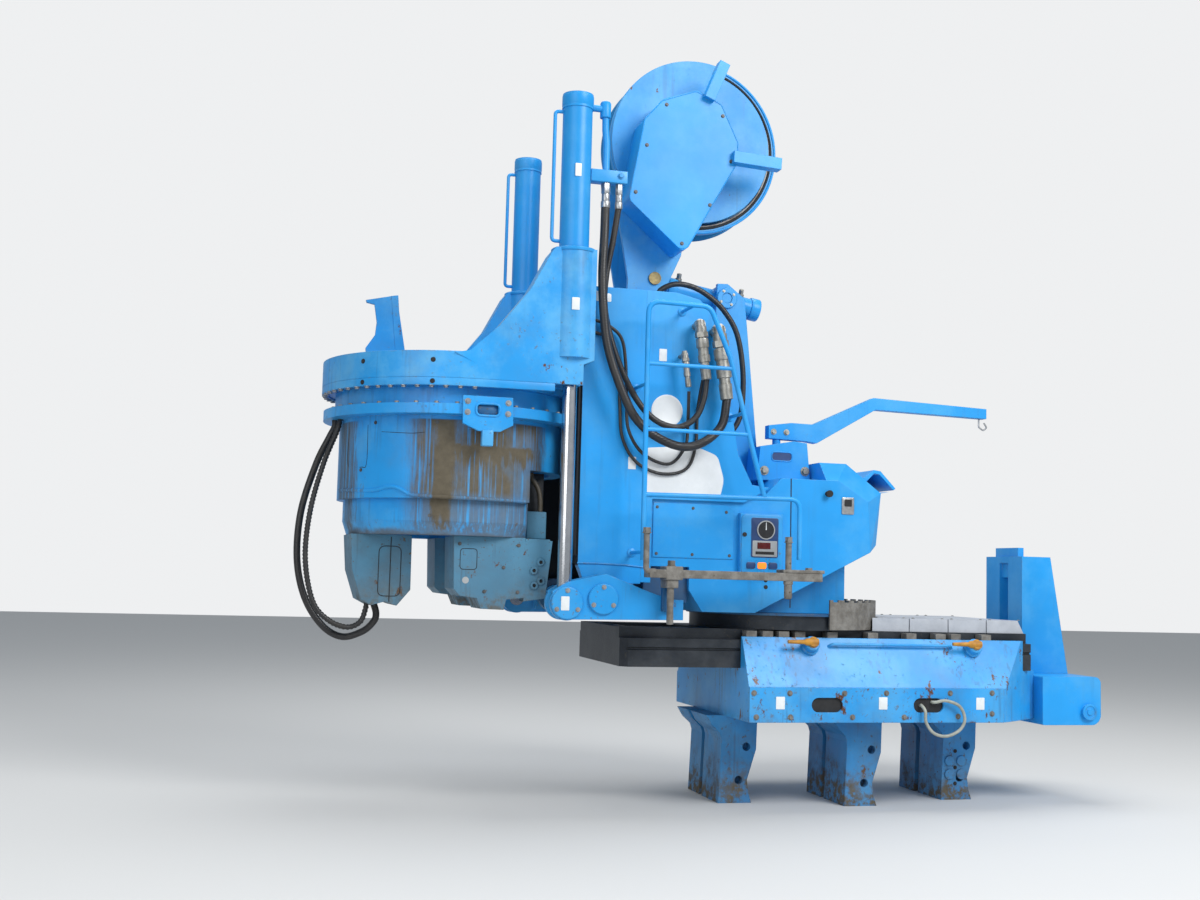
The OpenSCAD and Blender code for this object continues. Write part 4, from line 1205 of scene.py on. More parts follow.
@dataclass
class ChuckHead(Bench):
    """The turning drum with its handle plate, claw and jaws."""

    body: Part = Part.CHUCK
    axis_x: float = -2.325
    drum_r: float = 0.630
    flange_r: float = 0.722
    flange_top: float = 2.143
    bolt_r: float = 0.69
    claw_y: float = -0.2305

    def on_drum(self, x: float, z: float, proud: float = 0.0) -> Point:
        """The point of the drum's near side at a place along X."""
        radius = self.drum_r + proud
        return (x, -math.sqrt(max(radius ** 2 - (x - self.axis_x) ** 2, 1e-6)), z)

    def build(self) -> None:
        """Makes what is on the drum, its flange, its claw and its near jaw, and the hose loop."""
        rib = [
            (-2.945, 1.700), (-2.90, 1.694), (-2.80, 1.688), (-2.74, 1.704), (-2.70, 1.706), (-2.66, 1.690),
            (-2.62, 1.668), (-2.55, 1.662), (-2.40, 1.658), (-2.20, 1.656), (-2.00, 1.655)
        ]
        line = self.smooth([self.on_drum(x, z, -0.002) for x, z in rib], 6)
        self.tube("drum_rib", line, 0.011, "drum_paint", 12)
        left = ((-2.918, 2.040), (-2.918, 1.830), (-2.860, 1.815), (-2.835, 1.835), (-2.835, 2.040))
        middle = ((-2.770, 2.000), (-2.700, 1.994), (-2.620, 1.990), (-2.560, 1.996))
        for name, places in (("drum_panel_left", left), ("drum_panel_line", middle)):
            seam = self.smooth([self.on_drum(x, z, -0.0005) for x, z in places], 6)
            self.tube(name, seam, 0.0018, "hollow_dark", 8, slot="paint")
        self.handle()
        angles = [math.radians(a) for a in range(-178, 180, 9)]
        spots = [about(self.axis_x, self.bolt_r, a, self.flange_top) for a in angles]
        self.bolts("flange_bolts", spots, Facing.UP, 0.012)
        screws = ((-2.80, 2.05), (-2.50, 2.05), (-2.86, 1.80), (-2.52, 1.56))
        spots, ways = [self.on_drum(x, z) for x, z in screws], [self.out(x) for x, _ in screws]
        self.bolts("drum_screws", spots, ways, 0.007, "old_screws")
        self.claw()
        JawDress(self.stock).build()
        self.cavity()
        self.loop()

    def out(self, x: float) -> Point:
        """The way out of the drum's near side at a place along X."""
        run = (x - self.axis_x) / self.drum_r
        return (run, -math.sqrt(max(1 - run * run, 0.0)), 0.0)

    def handle(self) -> None:
        """The plate over the flange's joint: a rimmed slot, four bolts and a tongue."""
        face = -self.flange_r - 0.014
        rim = self.pane((-2.318, 2.083), (-2.192, 2.147), 0.03)
        self.tube("handle_rim", self.closed(rim, face - 0.001), 0.006, "ring_paint", 10)
        spots = [(x, face, z) for x in (-2.362, -2.148) for z in (2.155, 2.098)]
        self.bolts("handle_bolts", spots, Facing.NEAR, 0.010, "clean_plating", washer=0.016)
        self.slab(
            "handle_shade", self.pane((-2.3095, 2.0905), (-2.2005, 2.1395)), face + 0.012, face + 0.0135,
            "base_paint", 0.0002
        )
        self.block("handle_tongue", (-2.283, -0.742, 1.925), (-2.222, -0.700, 2.010), "ring_paint", 0.006)

    def claw(self) -> None:
        """Seam lines of the claw."""
        seam = self.closed(self.pane((-2.735, 1.130), (-2.615, 1.400), 0.035), self.claw_y)
        self.tube("claw_seam", seam, 0.0022, "hollow_dark", 8, slot="shade_paint")
        joint = [Vector((-2.672, self.claw_y, z)) for z in (1.10, 1.25, 1.45)]
        self.tube("claw_joint", joint, 0.0025, "hollow_dark", 8, slot="shade_paint")

    def cavity(self) -> None:
        """The open rear of the drum: a near-black sheet of painted shade, a block and the hose that bends
        down to the jaws.
        """
        # painted shade: a thin near-black sheet where the open drum lies in shadow
        self.block(
            "cavity_shade_sheet", (-1.9752, -0.305, 1.4605), (-1.850, -0.299, 1.824), "greasy_steel", 0.002
        )
        self.block("cavity_block", (-1.960, -0.400, 1.4605), (-1.850, -0.3048, 1.610), "claw_paint", 0.006)
        line = self.smooth([
            (-1.935, -0.350, 1.824), (-1.925, -0.352, 1.790), (-1.895, -0.360, 1.740),
            (-1.882, -0.365, 1.680), (-1.880, -0.365, 1.609)
        ])
        self.tube("cavity_hose", line, 0.014, "muddy_hose")

    def loop(self) -> None:
        """The two hoses that hang in a loop before the drum."""
        route = [
            (-2.985, -0.050, 2.0877), (-2.987, -0.051, 2.050), (-3.015, -0.056, 1.990),
            (-3.080, -0.060, 1.840), (-3.150, -0.060, 1.580), (-3.160, -0.060, 1.320),
            (-3.110, -0.060, 1.110), (-3.010, -0.055, 0.960), (-2.900, -0.050, 0.900),
            (-2.790, -0.045, 0.930), (-2.730, -0.042, 0.985), (-2.718, -0.040, 1.030),
            (-2.734, -0.040, 1.086)
        ]
        first = self.tube("chuck_hose_smooth", self.smooth(route), 0.019, "hose_rubber")
        inner = [
            (-2.965, -0.12, 2.0877), (-2.98, -0.125, 2.02), (-3.045, -0.13, 1.84), (-3.105, -0.13, 1.58),
            (-3.12, -0.13, 1.32), (-3.07, -0.13, 1.09), (-2.98, -0.125, 0.99), (-2.88, -0.12, 0.955),
            (-2.81, -0.115, 0.985), (-2.785, -0.11, 1.05), (-2.78, -0.11, 1.085)
        ]
        line = self.smooth(inner)
        self.tube("chuck_hose_armoured", line, 0.013, "hose_rubber")
        self.rings("chuck_hose_rings", line, 0.020, 0.0155, 0.011, "hose_rubber")
        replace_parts(first, "chuck_hoses")


@dataclass
class JawDress(Bench):
    """The near jaw's bolts, pocket line, lip, blank disc and bosses, with painted shade in the bosses'
    holes.
    """

    body: Part = Part.JAW_NEAR
    face_y: float = -0.4995
    bosses: tuple[Flat, ...] = ((-1.934, 1.288), (-1.898, 1.334), (-1.931, 1.208), (-1.894, 1.233))

    def build(self) -> None:
        """Makes what is fixed to the near jaw."""
        y = self.face_y
        spots = ((-2.34, 1.42), (-2.20, 1.17), (-2.10, 1.30), (-2.02, 1.17), (-2.02, 1.42))
        self.bolts("jaw_bolts", at_depth(-0.5, spots), Facing.NEAR, 0.007, "old_screws")
        pocket = self.closed(self.pane((-2.335, 1.285), (-2.245, 1.395), 0.02), -0.5003)
        self.tube("jaw_pocket", pocket, 0.0018, "hollow_dark", 8, slot="shade_paint")
        lip = [(-1.984, 1.436), (-1.984, 1.4575), (-1.852, 1.4575), (-1.842, 1.444), (-1.846, 1.436)]
        self.slab("jaw_lip", lip, y, -0.405, "claw_paint", 0.001)
        disc = [(0.0, 0.0), (0.018, 0.0), (0.018, 0.002), (0.0, 0.0022)]
        self.lathe("jaw_blank_disc", (-2.303, y, 1.228), Facing.NEAR, disc, "panel_grey", 28)
        ring = [
            (0.0, 0.0), (0.022, 0.0), (0.022, 0.010), (0.018, 0.013), (0.010, 0.013), (0.009, 0.002),
            (0.0, 0.002)
        ]
        for k, (x, z) in enumerate(self.bosses):
            self.lathe(f"jaw_boss_{k}", (x, y, z), Facing.NEAR, ring, "claw_paint", 28)
        # painted shade: near-black discs at the bottom of the bosses' holes
        holes = at_depth(-0.5013, self.bosses)
        self.bolts("jaw_boss_hole_shade", holes, Facing.NEAR, 0.008, "hollow_dark", 0.001, sides=16)


@dataclass
class RingFrame(Bench):
    """The chuck frame's ring, the press cylinders and what is fixed to them."""

    body: Part = Part.FRAME
    axis_x: float = -2.325
    ring_r: float = 0.735
    ring_low: float = 2.275
    lip_low: float = 2.234
    lip_wide: float = 0.034
    ring_top: float = 2.412
    barrel_x: float = -1.800
    barrel_y: float = 0.650
    barrel_r: float = 0.081
    sleeve_r: float = 0.118
    barrel_top: float = 3.875
    under_r: float = 0.718
    brink: float = 0.004

    def build(self) -> None:
        """Makes the bolts and plugs, both cylinders' trim, the pipe with its ferrules and the lip."""
        arc = [math.radians(a) for a in range(90, 271, 6)]
        under = [about(self.axis_x, self.under_r, a, self.lip_low) for a in arc]
        self.bolts("ring_under_bolts", under, Facing.DOWN, 0.012, "clean_plating")
        sides = [math.radians(a) for a in (79.5, 107.5, 140, 170, 220.4, 252.5, 280.5)]
        spots = [about(self.axis_x, self.ring_r, a, z) for a in sides for z in (2.366, 2.254)]
        ways = [about(0.0, 1.0, a, 0.0) for a in sides for _ in (0, 1)]
        self.bolts("ring_plugs", spots, ways, 0.009, "hollow_dark", 0.002, sides=16)
        turns = [math.radians(a) for a in range(88, 273, 4)]
        edge = [Vector(about(self.axis_x, self.ring_r - self.brink, a, self.ring_top)) for a in turns]
        self.tube("ring_edge", edge, self.brink, "ring_paint", 8)
        for side, sign, _ in SIDES:
            self.cylinder(side, sign * self.barrel_y)
        self.pipe()
        self.lip()

    def lip(self) -> None:
        """The lip under the ring's rim, which the bolts come out of."""
        shape = bmesh.new()
        stations = [
            (0.425, math.pi / 2), *((0.0, math.radians(a)) for a in range(90, 271, 4)),
            (0.425, math.pi * 1.5)
        ]
        low, top, outer, inner = self.lip_low, self.ring_low, self.ring_r, self.ring_r - self.lip_wide
        section = [(outer, low), (outer, top), (inner, top), (inner, low)]
        rows = [
            [shape.verts.new(about(self.axis_x + shift, r, a, z)) for r, z in section]
            for shift, a in stations
        ]
        self.skin(shape, rows)
        shape.faces.new(rows[0])
        shape.faces.new(list(reversed(rows[-1])))
        self.close_shape("ring_lip", shape, "ring_paint", 0.002)

    def cylinder(self, side: str, y: float) -> None:
        """One press cylinder's cap, collar, rail and blank plates.

        Args:
            side: near or far.
            y: where the cylinder's axis stands.
        """
        foot, r, sleeve = (self.barrel_x, y, self.barrel_top - 0.085), self.barrel_r, self.sleeve_r
        cap = [
            (r - 0.007, 0.0), (r + 0.005, 0.004), (r + 0.005, 0.010), (r + 0.0035, 0.013),
            (r + 0.0035, 0.018), (r + 0.0055, 0.021), (r + 0.0055, 0.074), (r - 0.003, 0.084),
            (r * 0.5, 0.0855), (0.0, 0.0855)
        ]
        self.lathe(f"barrel_cap_{side}", foot, Facing.UP, cap, sides=64)
        collar = [
            (r + 0.002, 0.0), (sleeve + 0.004, 0.0), (sleeve + 0.006, 0.003), (sleeve + 0.006, 0.016),
            (sleeve + 0.002, 0.020), (r + 0.012, 0.021), (r + 0.002, 0.030), (r + 0.002, 0.0)
        ]
        self.lathe(f"sleeve_collar_{side}", (self.barrel_x, y, 2.996), Facing.UP, collar, sides=64)
        x_out = self.barrel_x - self.barrel_r - 0.044
        inner = self.barrel_x - self.barrel_r + 0.004
        line = self.rounded(
            [(inner, y, 3.775), (x_out, y, 3.775), (x_out, y, 3.060), (inner, y, 3.060)], 0.022
        )
        rail = self.tube(f"grab_rail_{side}", line, 0.010)
        if side == "near":
            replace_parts(rail, "grab_rails")
            face, plate = y - sleeve, self.pane((-1.830, 2.671), (-1.788, 2.737), PLATE_CORNER)
            self.slab("sleeve_plate", plate, face - 0.002, face + 0.004, "blank_field", PLATE_BEVEL)
        out = math.copysign(r - 0.001, y)
        plate = self.pane((-1.824, 3.405), (-1.790, 3.475), PLATE_CORNER)
        self.slab(
            f"barrel_plate_{side}", plate, y + out, y + (out + math.copysign(0.004, y)), "blank_field",
            PLATE_BEVEL
        )

    def pipe(self) -> None:
        """The near cylinder's elbow, pipe, block and hose ferrules."""
        y, x0 = -self.barrel_y, self.barrel_x + self.barrel_r
        line = self.rounded(
            [
                (x0 - 0.004, y, 3.815), (x0 + 0.076, y, 3.815), (x0 + 0.078, y, 3.70),
                (x0 + 0.086, y, 3.62), (x0 + 0.086, y, 3.46)
            ],
            0.03
        )
        pipe = self.tube("port_pipe", line, 0.019)
        elbow = [(0.020, 0.0), (0.029, 0.0), (0.030, 0.004), (0.030, 0.080), (0.024, 0.090), (0.0, 0.091)]
        self.lathe("port_elbow", (x0 + 0.075, y, 3.765), Facing.UP, elbow, sides=32)
        block = self.block(
            "hose_block", (x0 - 0.006, y - 0.040, 3.400), (self.barrel_x + 0.282, y + 0.030, 3.468),
            bevel=0.004
        )
        self.bolts(
            "block_bolts", [(self.barrel_x + 0.242, y - 0.040, 3.440)], Facing.NEAR, 0.013, "mast_paint"
        )
        parts = []
        for k, (x, r) in enumerate(((self.barrel_x + 0.167, 0.026), (self.barrel_x + 0.242, 0.021))):
            for low, high, wide, sides in (
                (3.340, 3.400, 1.0, 6), (3.300, 3.340, 0.86, 24), (3.262, 3.300, 1.0, 24)
            ):
                full, slim, tall = r * wide, r * wide * 0.94, high - low
                ferrule = [
                    (0.0, 0.0), (slim, 0.0), (full, 0.004), (full, tall - 0.004), (slim, tall), (0.0, tall)
                ]
                foot = (x, y - 0.010, low)
                parts.append(
                    self.lathe(
                        f"ferrule_{k}_{low}", foot, Facing.UP, ferrule, "clean_plating", sides, ride=False
                    )
                )
        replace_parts(self.join("hose_ferrules", parts, "silver"), "manifold")
        LOG.info("%s and %s carry the ferrules", pipe.name, block.name)


@dataclass
class MastDress(Bench):
    """The mast's plates, feet, ladder, step, couplings and hoses."""

    face_y: float = -0.562
    ladder_y: float = -0.780
    step_y: float = -0.830
    foot_y: float = 0.720
    cover_rim: float = 0.0165
    coupling_y: float = -0.650

    def build(self) -> None:
        """Makes what is fixed to the mast."""
        self.fields()
        self.feet()
        self.ladder()
        self.step()
        self.couplings()
        self.hoses()

    def fields(self) -> None:
        """The blank light panel, the blank round plate and three small blank plates."""
        y = self.face_y
        wide = self.round_corners(
            [
                (-1.345, 1.975), (-1.20, 1.988), (-1.031, 1.989), (-0.925, 1.950), (-0.885, 1.817),
                (-0.905, 1.722), (-1.342, 1.705)
            ],
            0.03
        )
        self.slab("blank_panel", wide, y - 0.0025, y + 0.001, "blank_field", 0.0006)
        disc = [
            (0.0, 0.0), (0.090, 0.0), (0.090, 0.003), (0.086, 0.0038), (0.080, 0.0038), (0.078, 0.0030),
            (0.0, 0.0030)
        ]
        self.lathe("blank_round_plate", (-1.225, y + 0.001, 2.185), Facing.NEAR, disc, "blank_field", 48)
        top = self.round_corners(
            [(-1.655, 2.768), (-1.560, 2.768), (-1.560, 2.812), (-1.655, 2.826)], 0.008
        )
        self.slab("blank_top_plate", top, y - 0.002, y + 0.001, "blank_field", PLATE_BEVEL)
        for k, (x, z) in enumerate(((-1.418, 1.888), (-1.255, 2.494))):
            plate = self.pane((x - 0.022, z - 0.034), (x + 0.022, z + 0.034), PLATE_CORNER)
            self.slab(f"blank_plate_{k}", plate, y - 0.002, y + 0.001, "blank_field", PLATE_BEVEL)

    def feet(self) -> None:
        """The pins' cover discs with three screws each, on both sides, a blank plate and a weld."""
        spots, ways = [], []
        rim = self.cover_rim
        for side, sign, facing in SIDES:
            for k, (x, z, r) in enumerate(((-1.604, 1.148, 0.080), (-1.800, 1.123, 0.084))):
                y = sign * self.foot_y
                disc = [
                    (r - 0.002, 0.0), (r + 0.002, 0.002), (r + 0.002, 0.012), (r - 0.003, rim),
                    (r * 0.5, rim + 0.0003), (0.0, rim + 0.0003)
                ]
                self.lathe(f"pin_cover_{side}_{k}", (x, y, z), facing, disc, "foot_paint", 56)
                for a in (math.radians(d) for d in (90, 210, 330)):
                    spots.append((x + 0.78 * r * math.cos(a), y + sign * rim, z + 0.78 * r * math.sin(a)))
                    ways.append(facing.value)
        self.bolts("pin_cover_screws", spots, ways, 0.009, "clean_plating")
        plate = self.pane((-1.835, 1.085), (-1.790, 1.158), PLATE_CORNER)
        self.slab("blank_foot_plate", plate, -0.7385, -0.7365, "blank_field", PLATE_BEVEL)
        weld = at_depth(-0.5635, ((-1.712, 1.335), (-1.60, 1.336), (-1.45, 1.332), (-1.31, 1.320)))
        self.tube("foot_weld", [Vector(p) for p in weld], 0.005, "foot_paint", 8)

    def ladder(self) -> None:
        """The bent tube ladder with its rungs and stays."""
        y = self.ladder_y
        hoop = (
            (-1.409, 1.360), (-1.409, 2.748), (-1.060, 2.741), (-0.940, 2.470), (-0.824, 2.053),
            (-0.730, 1.719)
        )
        main = self.rounded(at_depth(y, hoop), 0.07)
        low = self.rounded(at_depth(y, ((-1.409, 1.706), (-0.522, 1.714), (-0.522, 1.385))), 0.06)
        flange = [(0.0, 0.0), (0.024, 0.0), (0.024, 0.005), (0.013, 0.010), (0.0, 0.010)]
        first = self.tube("ladder_hoop", main, 0.014)
        self.tube("ladder_rail", low, 0.013)
        for k, (z, x) in enumerate(((2.409, -0.922), (2.055, -0.825))):
            self.tube(f"ladder_rung_{k}", [Vector((-1.409, y, z)), Vector((x, y, z))], 0.011)
        for k, (x, z) in enumerate(((-1.409, 1.400), (-1.409, 2.300), (-1.150, 2.743), (-0.856, 2.170))):
            self.tube(f"ladder_stay_{k}", [Vector((x, y, z)), Vector((x, self.face_y, z))], 0.010)
            self.lathe(f"stay_flange_{k}", (x, self.face_y, z), Facing.NEAR, flange, sides=24)
        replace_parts(first, "ladder")

    def step(self) -> None:
        """The step bar with its posts, clamps and eye."""
        bar = self.block(
            "step_beam", (-1.389, -0.850, 1.268), (-0.411, -0.740, 1.312), "muddy_steel", 0.004
        )
        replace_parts(bar, "step_bar")
        self.block("step_clamp", (-1.300, -0.852, 1.258), (-1.205, -0.738, 1.330), "muddy_steel", 0.006)
        self.block("step_bracket", (-1.290, -0.840, 1.215), (-1.226, -0.7202, 1.268), "muddy_steel", 0.006)
        self.block("step_hanger", (-1.286, -0.752, 1.090), (-1.230, -0.7202, 1.240), "base_paint", 0.004)
        y = self.step_y
        front = self.rounded([(-1.355, -0.838, 1.300), (-1.404, y, 1.300), (-1.404, y, 1.500)], 0.03)
        self.tube("step_post_front", front, 0.016, "muddy_steel")
        self.tube("step_post_rear", [Vector((-0.604, y, z)) for z in (1.255, 1.475)], 0.017, "muddy_steel")
        foot = [
            (0.0, 0.0), (0.018, 0.004), (0.022, 0.012), (0.022, 0.078), (0.026, 0.082), (0.026, 0.098),
            (0.0, 0.100)
        ]
        self.lathe("step_post_foot", (-0.604, y, 1.170), Facing.UP, foot, "muddy_steel", 24)
        peg = [
            (0.0, 0.0), (0.017, 0.003), (0.019, 0.010), (0.017, 0.090), (0.019, 0.120), (0.019, 0.236),
            (0.0, 0.237)
        ]
        self.lathe("step_peg", (-1.261, -0.810, 1.022), Facing.UP, peg, "muddy_steel", 24)
        caps = [(-1.404, y, 1.500), (-0.604, y, 1.475), (-1.254, -0.795, 1.330), (-0.470, -0.795, 1.312)]
        self.bolts("step_nuts", caps, Facing.UP, 0.021, "muddy_steel", 0.026, 0.024)
        self.block("step_rest", (-0.640, -0.852, 1.312), (-0.400, -0.745, 1.330), "muddy_steel", 0.004)

    def couplings(self) -> None:
        """Three quick couplings with their elbows, turned in steps."""
        lean = math.radians(8)
        way = (math.sin(lean), 0.0, -math.cos(lean))
        parts = []
        steps = [
            (0.0, 0.80), (0.10, 0.80), (0.105, 1.0), (0.20, 1.0), (0.205, 0.72), (0.30, 0.72),
            (0.305, 1.06), (0.335, 1.10), (0.43, 1.10), (0.46, 1.06), (0.465, 0.9), (0.58, 0.9),
            (0.585, 1.04), (0.70, 1.04), (0.705, 0.78), (0.78, 0.78), (0.785, 0.92), (0.99, 0.88),
            (1.0, 0.7)
        ]
        sizes = (
            (-1.075, 2.685, 0.330, 0.032), (-0.965, 2.660, 0.410, 0.040), (-1.160, 2.510, 0.200, 0.018)
        )
        for k, (x, top, length, r) in enumerate(sizes):
            profile = [(0.0, 0.0), *((r * wide, length * at) for at, wide in steps), (0.0, length)]
            head = Vector((x, self.coupling_y, top))
            parts.append(
                self.lathe(f"coupling_body_{k}", tuple(head), way, profile, "plated_steel", 24, ride=False)
            )
            nut = [(0.0, 0.0), (r * 1.16, 0.0), (r * 1.16, length * 0.085), (0.0, length * 0.085)]
            spot = tuple(head + Vector(way) * length * 0.20)
            parts.append(self.lathe(f"coupling_nut_{k}", spot, way, nut, "plated_steel", 6, ride=False))
            elbow = [
                (0.0, 0.0), (r * 0.66, 0.0), (r * 0.66, 0.058), (r * 0.95, 0.060), (r * 0.95, 0.090),
                (0.0, 0.092)
            ]
            spot = (x + 0.004, self.face_y, top - 0.020)
            parts.append(
                self.lathe(f"coupling_elbow_{k}", spot, Facing.NEAR, elbow, "plated_steel", 20, ride=False)
            )
        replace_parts(self.join("quick_couplings", parts, "brass"), "couplings")

    def hoses(self) -> None:
        """The two pressure hoses and the pilot hoses on the mast, and the hose behind it."""
        big = [
            (-1.633, -0.660, 3.275), (-1.640, -0.680, 3.10), (-1.650, -0.700, 2.90), (-1.640, -0.705, 2.70),
            (-1.610, -0.700, 2.50), (-1.540, -0.700, 2.30), (-1.450, -0.695, 2.13), (-1.330, -0.690, 2.03),
            (-1.180, -0.685, 1.98), (-1.050, -0.675, 2.01), (-0.940, -0.660, 2.11), (-0.908, -0.650, 2.258)
        ]
        small = [
            (-1.558, -0.660, 3.275), (-1.580, -0.645, 3.10), (-1.610, -0.630, 2.90), (-1.612, -0.625, 2.72),
            (-1.560, -0.625, 2.515), (-1.480, -0.628, 2.33), (-1.390, -0.632, 2.19), (-1.290, -0.636, 2.11),
            (-1.180, -0.640, 2.09), (-1.088, -0.645, 2.145), (-1.044, -0.650, 2.246),
            (-1.029, -0.650, 2.362)
        ]
        first = self.bending("press_hose_large", big, 0.024)
        self.bending("press_hose_small", small, 0.017)
        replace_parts(first, "press_hoses")
        back = [
            (-1.200, -0.250, 2.850), (-1.198, -0.251, 2.880), (-1.180, -0.255, 2.925),
            (-1.100, -0.262, 2.962), (-1.000, -0.266, 2.955), (-0.900, -0.268, 2.910),
            (-0.800, -0.266, 2.830), (-0.715, -0.262, 2.700), (-0.672, -0.256, 2.500),
            (-0.668, -0.252, 2.300), (-0.690, -0.251, 2.190), (-0.748, -0.250, 2.114),
            (-0.826, -0.250, 2.100)
        ]
        upper = (
            (-1.650, 2.655), (-1.573, 2.628), (-1.504, 2.566), (-1.477, 2.436), (-1.466, 2.227),
            (-1.450, 2.064), (-1.362, 1.937), (-1.215, 1.890), (-1.125, 1.990), (-1.112, 2.110),
            (-1.126, 2.290)
        )
        lower = (
            (-1.650, 2.590), (-1.590, 2.570), (-1.540, 2.510), (-1.512, 2.400), (-1.500, 2.200),
            (-1.480, 2.020), (-1.395, 1.890), (-1.250, 1.835), (-1.110, 1.870), (-1.060, 2.000),
            (-1.052, 2.200), (-1.040, 2.400)
        )
        for name, out, route in (("pilot_hose_upper", 0.590, upper), ("pilot_hose_lower", 0.577, lower)):
            (x0, z0), (x1, z1) = route[0], route[-1]
            line = [
                (x0 - 0.02, self.face_y + 0.004, z0 + 0.004), *at_depth(-out, route[:-1]), (x1, -0.640, z1)
            ]
            self.tube(name, self.smooth(line), 0.009, "hose_rubber", 12)
        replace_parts(self.tube("mast_hose_back", self.smooth(back), 0.016, "hose_rubber"), "mast_hoses")

    def bending(self, name: str, route: list[Point], radius: float) -> Piece:
        """A hose that hangs between the moving cylinder and the mast.

        Args:
            name: the piece's name.
            route: its points, from the cylinder to the mast.
            radius: its radius.

        Returns:
            The piece.
        """
        piece = self.tube(name, self.smooth(route), radius, "hose_rubber", ride=False)
        self.shade(piece)
        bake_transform(piece)
        LOG.info("%s bends between the chuck frame and the mast", name)
        return piece


